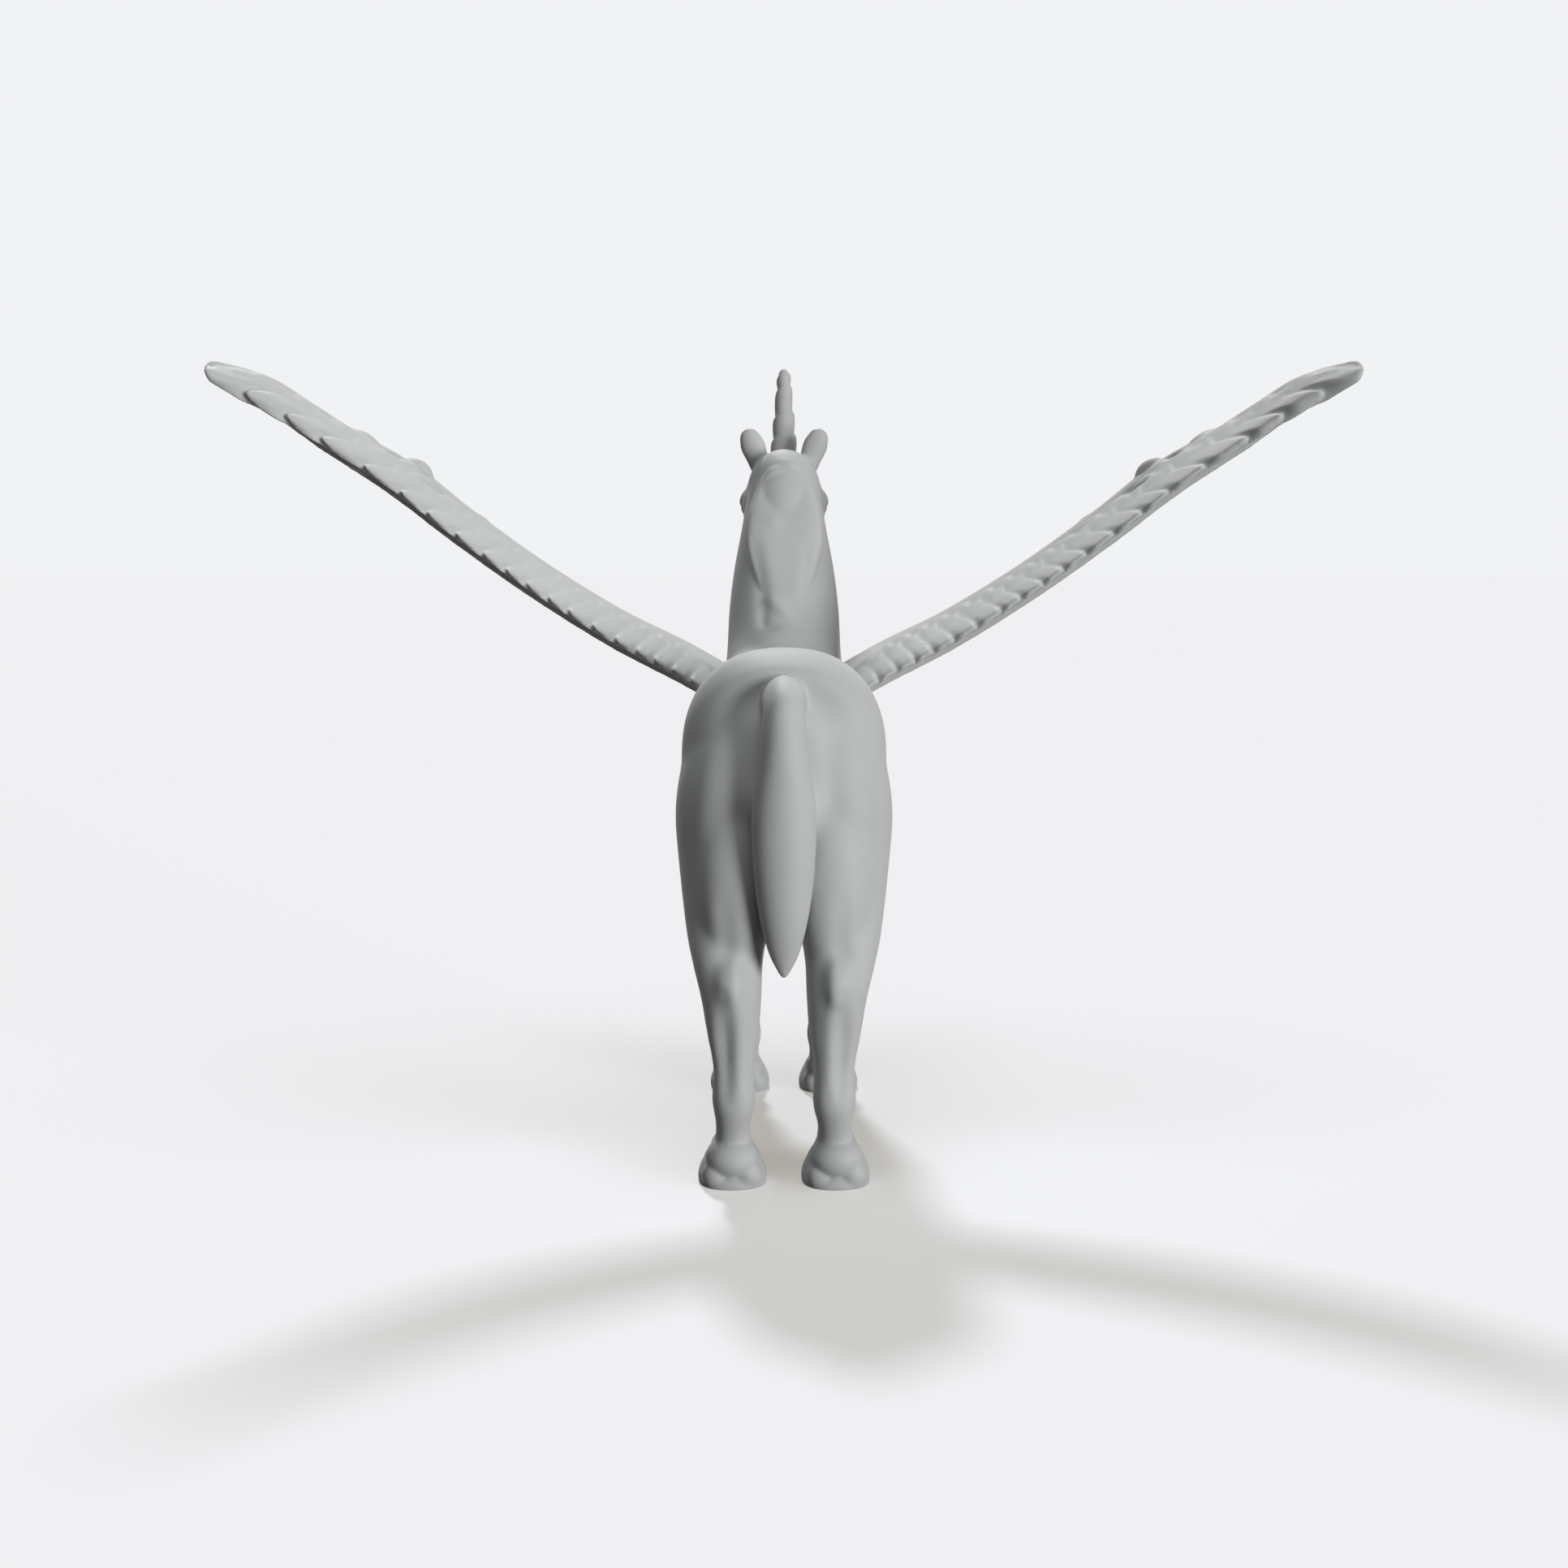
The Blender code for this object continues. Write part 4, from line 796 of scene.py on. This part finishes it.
def hind_leg_strokes():
    """Lines of the +X haunch and hind leg, each as (path, width, depth)."""
    x = TRACK_HALF
    y = REAR_HOOF_Y
    behind = y + 0.012
    haunch = ((0.0135, y, 0.0830), (0.0150, y + 0.002, 0.0720), (0.0142, y + 0.002, 0.0600))
    gaskin = (
        (x + 0.0016, behind, 0.0530),
        (x + 0.0014, behind, 0.0440),
        (x + 0.0014, behind, 0.0390),
    )
    hock = ((x + 0.0018, behind, HOCK_Z + 0.0015), (x + 0.0010, behind, HOCK_Z - 0.0012))
    tendon = (
        (x + 0.0016, behind, HOCK_Z - 0.0030),
        (x + 0.0018, behind, HOCK_Z - 0.0110),
        (x + 0.0016, behind, REAR_FETLOCK_Z),
    )
    cord = (
        (x - 0.0014, behind, HOCK_Z + 0.0050),
        (x - 0.0016, behind, HOCK_Z - 0.0080),
        (x - 0.0012, behind, REAR_FETLOCK_Z + 0.0020),
    )
    return (
        (haunch, 0.0030, 0.00030),
        (gaskin, 0.0019, 0.00050),
        (hock, 0.0013, 0.00035),
        (tendon, 0.0018, 0.00075),
        (cord, 0.0014, -0.00035),
    )


def trunk_strokes():
    """Lines beside the tail, on the +X flank and shoulder and at the throat."""
    tail_side = ((0.0058, 0.0400, 0.0860), (0.0060, 0.0410, 0.0815))
    shoulder = ((0.0120, -0.0240, 0.0880), (0.0150, -0.0380, 0.0740), (0.0140, -0.0420, 0.0620))
    girth = ((0.0150, -0.0190, 0.0800), (0.0170, -0.0205, 0.0660), (0.0150, -0.0200, 0.0540))
    flank = ((0.0170, 0.0110, 0.0740), (0.0160, 0.0070, 0.0640))
    throat = (
        (0.0080, POLL_Y - 0.0020, 0.1130),
        (0.0100, POLL_Y + 0.0010, 0.1000),
        (0.0110, -0.0460, 0.0880),
    )
    return (
        (tail_side, 0.0012, 0.00035),
        (shoulder, 0.0018, 0.00045),
        (girth, 0.0024, 0.00060),
        (flank, 0.0040, 0.00080),
        (throat, 0.0016, 0.00050),
    )


def head_strokes():
    """Lips, nostril, eyelid, cheekbone and jaw on the +X side, and the hollow of the ear."""
    end = HEAD_LENGTH
    brow = BROW_HALF_WIDTH
    mouth = MUZZLE_HALF_WIDTH
    lips = (
        head_point(end + 0.0010, 0.0, 0.0016),
        head_point(end - 0.0015, mouth * 0.8, 0.0017),
        head_point(end - 0.0040, mouth + 0.0010, 0.0015),
        head_point(end - 0.0070, mouth + 0.0010, 0.0010),
    )
    nostril = (
        head_point(end - 0.0020, mouth + 0.0010, -0.0014),
        head_point(end - 0.0034, mouth + 0.001, -0.0022),
    )
    lid = (
        head_point(0.0080, brow + 0.001, -0.0014),
        head_point(0.0096, brow + 0.001, -0.0034),
        head_point(0.0120, brow + 0.001, -0.0030),
        head_point(0.0132, brow + 0.001, -0.0012),
        head_point(0.0112, brow + 0.001, 0.0000),
        head_point(0.0086, brow + 0.001, -0.0006),
        head_point(0.0080, brow + 0.001, -0.0014),
    )
    cheekbone = (
        head_point(0.0150, brow, -0.0004),
        head_point(0.0200, brow - 0.001, -0.0004),
        head_point(0.0250, mouth + 0.001, -0.0004),
    )
    jaw = (
        head_point(0.0165, brow, 0.0030),
        head_point(0.0150, brow, 0.0070),
    )
    foot, way = ear_frame()
    before_ear = Vector((0, 0.004, 0))
    hollow = [tuple(foot + way * EAR_LENGTH * share - before_ear) for share in (0.25, 0.50, 0.80)]
    return (
        (lips, 0.00035, 0.00050),
        (nostril, 0.0006, 0.00100),
        (lid, 0.0004, 0.00045),
        (cheekbone, 0.0009, -0.00035),
        (jaw, 0.0010, 0.00040),
        (hollow, 0.0009, 0.00110),
    )


def hoof_stroke(y):
    """The groove under the coronet, round the front of the hoof at y."""
    reach = 0.010
    angles = np.linspace(-2.9, 0.2, 9)
    path = [(TRACK_HALF + reach * cos(t), y + reach * sin(t), 0.0062) for t in angles]
    return path, 0.0003, 0.00022


def mane_strokes():
    """The locks of the mane, whose ends curl towards the -X side."""
    left = (behind_neck(0.0068, 0.1150), behind_neck(0.0062, 0.1070), behind_neck(0.0048, 0.0995))
    under = (behind_neck(0.0058, 0.1005), behind_neck(0.0048, 0.0982), behind_neck(0.0014, 0.0968))
    curl = (behind_neck(0.0046, 0.1030), behind_neck(0.0020, 0.1018), behind_neck(-0.0012, 0.0996))
    right = (behind_neck(-0.0052, 0.1130), behind_neck(-0.0050, 0.1060), behind_neck(-0.0054, 0.0990))
    lump = (behind_neck(0.0028, 0.1180), behind_neck(0.0018, 0.1176))
    return (
        (left, 0.0017, 0.00065),
        (under, 0.0012, 0.00050),
        (curl, 0.0015, -0.00070),
        (right, 0.0010, 0.00022),
        (lump, 0.0017, -0.00030),
    )


def wing_strokes():
    """Two pits at the +X wrist and a longer, shallower one further in."""
    up = np.array((0, 0, 0.004))
    pits = []
    for x, chord, reach, width, depth in (
        (WRIST_X - 0.0068, 0.36, 0.0018, 0.0011, 0.0008),
        (WRIST_X + 0.0004, 0.28, 0.0012, 0.0008, 0.0006),
        (0.0560, 0.34, 0.0028, 0.0012, 0.0003),
    ):
        ends = (wing_point(x - reach, chord - 0.03) + up, wing_point(x + reach, chord + 0.05) + up)
        pits.append((ends, width, depth))
    return pits


def flipped(stroke):
    """The same stroke on the other side."""
    path, width, depth = stroke
    return [(-point[0], point[1], point[2]) for point in path], width, depth


def sculpted(mesh):
    """The mesh with all its strokes."""
    corners = [vert.co for vert in mesh.vertices]
    tree = BVHTree.FromPolygons(corners, [face.vertices for face in mesh.polygons])
    points = np.empty(len(mesh.vertices) * 3)
    mesh.vertices.foreach_get("co", points)
    points = points.reshape(-1, 3)
    normals = np.empty(len(points) * 3)
    mesh.vertex_normals.foreach_get("vector", normals)
    normals = normals.reshape(-1, 3)
    hooves = [hoof_stroke(FRONT_HOOF_Y), hoof_stroke(REAR_HOOF_Y)]
    both_sides = [*hind_leg_strokes(), *trunk_strokes(), *head_strokes(), *hooves, *wing_strokes()]
    for stroke in [*both_sides, *map(flipped, both_sides), *mane_strokes()]:
        press(points, normals, tree, *stroke)
    points[:, 2] = np.maximum(points[:, 2], 0)
    mesh.vertices.foreach_set("co", points.ravel())
    mesh.update()
    return mesh


def sculpture_mesh():
    """The body with hooves, tail, mane, ears, horn and both wings, as one carved skin."""
    bm = bmesh.new()
    add_hoof(bm, REAR_HOOF_Y)
    add_hoof(bm, FRONT_HOOF_Y)
    add_ear(bm)
    add_eye(bm)
    add_wing(bm)
    mirror_all(bm)
    add_tail(bm)
    add_mane(bm)
    add_horn(bm)
    bm.from_mesh(body_mesh())
    mesh = sculpted(fused(mesh_of(bm, "sculpture"), FINE_VOXEL, FINE_PASSES))
    faces = sum(len(face.vertices) - 2 for face in mesh.polygons)
    return modified(mesh, ("DECIMATE", {"ratio": min(1.0, TRIANGLES / faces)}))


def add_sculpture():
    """Puts the carved skin onto the CAD box, in place of the CAD solid. Gives its move along Y."""
    mesh = sculpture_mesh()
    points = np.array([vert.co for vert in mesh.vertices])
    middle_y = (points[:, 1].min() + points[:, 1].max()) / 2
    cad_middle_y = (CAD_BOX[0].y + CAD_BOX[1].y) / 2
    shift_y = cad_middle_y - middle_y
    mesh.transform(Matrix.Translation((0, shift_y, 0)))
    mesh.shade_smooth()
    mesh.materials.clear()
    mesh.materials.append(cast_resin())
    piece = bpy.data.objects.new("carved_skin", mesh)
    bpy.context.scene.collection.objects.link(piece)
    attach(piece, "root")
    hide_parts("figurine")
    return shift_y


def node_material(name):
    """A new material with its nodes and links."""
    material = bpy.data.materials.new(name)
    material.use_nodes = True
    return material, material.node_tree.nodes, material.node_tree.links


def cast_resin():
    """Matt light grey resin: a faint cloudiness in the colour and a fine tooth in the surface."""
    material, nodes, links = node_material("cast_resin")
    shader = nodes["Principled BSDF"]
    shader.inputs["Roughness"].default_value = RESIN_ROUGHNESS
    shader.inputs["Specular IOR Level"].default_value = RESIN_SPECULAR
    place = nodes.new("ShaderNodeTexCoord")
    cloud = nodes.new("ShaderNodeTexNoise")
    cloud.inputs["Scale"].default_value = CLOUD_SCALE
    cloud.inputs["Detail"].default_value = 3
    ramp = nodes.new("ShaderNodeValToRGB")
    ramp.color_ramp.elements[0].position = 0.35
    ramp.color_ramp.elements[0].color = (*RESIN_DARK, 1)
    ramp.color_ramp.elements[1].position = 0.65
    ramp.color_ramp.elements[1].color = (*RESIN_LIGHT, 1)
    links.new(place.outputs["Object"], cloud.inputs["Vector"])
    links.new(cloud.outputs["Fac"], ramp.inputs["Fac"])
    links.new(ramp.outputs["Color"], shader.inputs["Base Color"])
    tooth = nodes.new("ShaderNodeTexNoise")
    tooth.inputs["Scale"].default_value = TOOTH_SCALE
    tooth.inputs["Detail"].default_value = 2
    bump = nodes.new("ShaderNodeBump")
    bump.inputs["Strength"].default_value = TOOTH_STRENGTH
    bump.inputs["Distance"].default_value = TOOTH_HEIGHT
    links.new(place.outputs["Object"], tooth.inputs["Vector"])
    links.new(tooth.outputs["Fac"], bump.inputs["Height"])
    links.new(bump.outputs["Normal"], shader.inputs["Normal"])
    return material


def seen_directly(nodes, links):
    """1 for camera, glossy and transmission rays, else 0."""
    path = nodes.new("ShaderNodeLightPath")
    first = nodes.new("ShaderNodeMath")
    first.operation = "MAXIMUM"
    links.new(path.outputs["Is Camera Ray"], first.inputs[0])
    links.new(path.outputs["Is Glossy Ray"], first.inputs[1])
    second = nodes.new("ShaderNodeMath")
    second.operation = "MAXIMUM"
    links.new(first.outputs[0], second.inputs[0])
    links.new(path.outputs["Is Transmission Ray"], second.inputs[1])
    return second.outputs[0]


def paper_white():
    """Pale floor. What the camera sees is lifted to the backdrop's white and keeps the shadow."""
    material, nodes, links = node_material("paper_white")
    plain = nodes["Principled BSDF"]
    plain.inputs["Base Color"].default_value = (*FLOOR_ALBEDO, 1)
    plain.inputs["Roughness"].default_value = 0.9
    plain.inputs["Specular IOR Level"].default_value = 0.0
    veil = nodes.new("ShaderNodeBsdfDiffuse")
    veil.inputs["Color"].default_value = (*FLOOR_SHADOW_PART, 1)
    glow = nodes.new("ShaderNodeEmission")
    glow.inputs["Color"].default_value = (*FLOOR_GLOW_PART, 1)
    both = nodes.new("ShaderNodeAddShader")
    links.new(veil.outputs[0], both.inputs[0])
    links.new(glow.outputs[0], both.inputs[1])
    mix = nodes.new("ShaderNodeMixShader")
    links.new(seen_directly(nodes, links), mix.inputs[0])
    links.new(plain.outputs[0], mix.inputs[1])
    links.new(both.outputs[0], mix.inputs[2])
    links.new(mix.outputs[0], nodes["Material Output"].inputs["Surface"])
    return material


def add_floor():
    """A floor wide enough to reach the backdrop. It holds back none of the low side lamp's light."""
    bm = bmesh.new()
    bmesh.ops.create_grid(bm, x_segments=1, y_segments=1, size=FLOOR_HALF)
    mesh = bpy.data.meshes.new("floor")
    bm.to_mesh(mesh)
    bm.free()
    mesh.materials.append(paper_white())
    floor = bpy.data.objects.new("floor", mesh)
    floor.visible_shadow = False
    bpy.context.scene.collection.objects.link(floor)


def add_world():
    """Soft light from all round, seen as the pale backdrop."""
    world = bpy.data.worlds.new("studio")
    bpy.context.scene.world = world
    world.use_nodes = True
    nodes = world.node_tree.nodes
    links = world.node_tree.links
    light = nodes["Background"]
    light.inputs["Color"].default_value = (*AMBIENT_COLOUR, 1)
    light.inputs["Strength"].default_value = AMBIENT
    shown = nodes.new("ShaderNodeBackground")
    shown.inputs["Color"].default_value = (*BACKDROP, 1)
    shown.inputs["Strength"].default_value = 1
    mix = nodes.new("ShaderNodeMixShader")
    links.new(seen_directly(nodes, links), mix.inputs[0])
    links.new(light.outputs[0], mix.inputs[1])
    links.new(shown.outputs[0], mix.inputs[2])
    links.new(mix.outputs[0], nodes["World Output"].inputs["Surface"])


def add_sun(name, towards, strength, softness, colour):
    """A lamp without a place of its own. towards is the direction its light travels."""
    data = bpy.data.lights.new(name, "SUN")
    data.energy = strength
    data.angle = softness
    data.color = colour
    lamp = bpy.data.objects.new(name, data)
    lamp.rotation_euler = Vector(towards).to_track_quat("-Z", "Y").to_euler()
    bpy.context.scene.collection.objects.link(lamp)


def add_lamps():
    """One above and in front of the animal, a low one behind it on the -X side and one overhead."""
    add_sun("front_lamp", FRONT_LAMP_WAY, FRONT_LAMP, FRONT_LAMP_SOFTNESS, FRONT_LAMP_COLOUR)
    add_sun("side_lamp", SIDE_LAMP_WAY, SIDE_LAMP, SIDE_LAMP_SOFTNESS, SIDE_LAMP_COLOUR)
    add_sun("top_lamp", TOP_LAMP_WAY, TOP_LAMP, TOP_LAMP_SOFTNESS, TOP_LAMP_COLOUR)


def add_camera(shift_y):
    """The photograph's camera: behind the animal, a little above it."""
    data = bpy.data.cameras.new("camera")
    data.lens = LENS
    data.sensor_width = SENSOR
    camera = bpy.data.objects.new("camera", data)
    camera.location = (0, CAMERA_Y + shift_y, CAMERA_Z)
    camera.rotation_euler = (pi / 2 - CAMERA_PITCH, 0, pi)
    bpy.context.scene.collection.objects.link(camera)
    bpy.context.scene.camera = camera


def main():
    shift_y = add_sculpture()
    add_floor()
    add_world()
    add_lamps()
    add_camera(shift_y)
    bpy.context.scene.view_settings.view_transform = "Standard"


main()
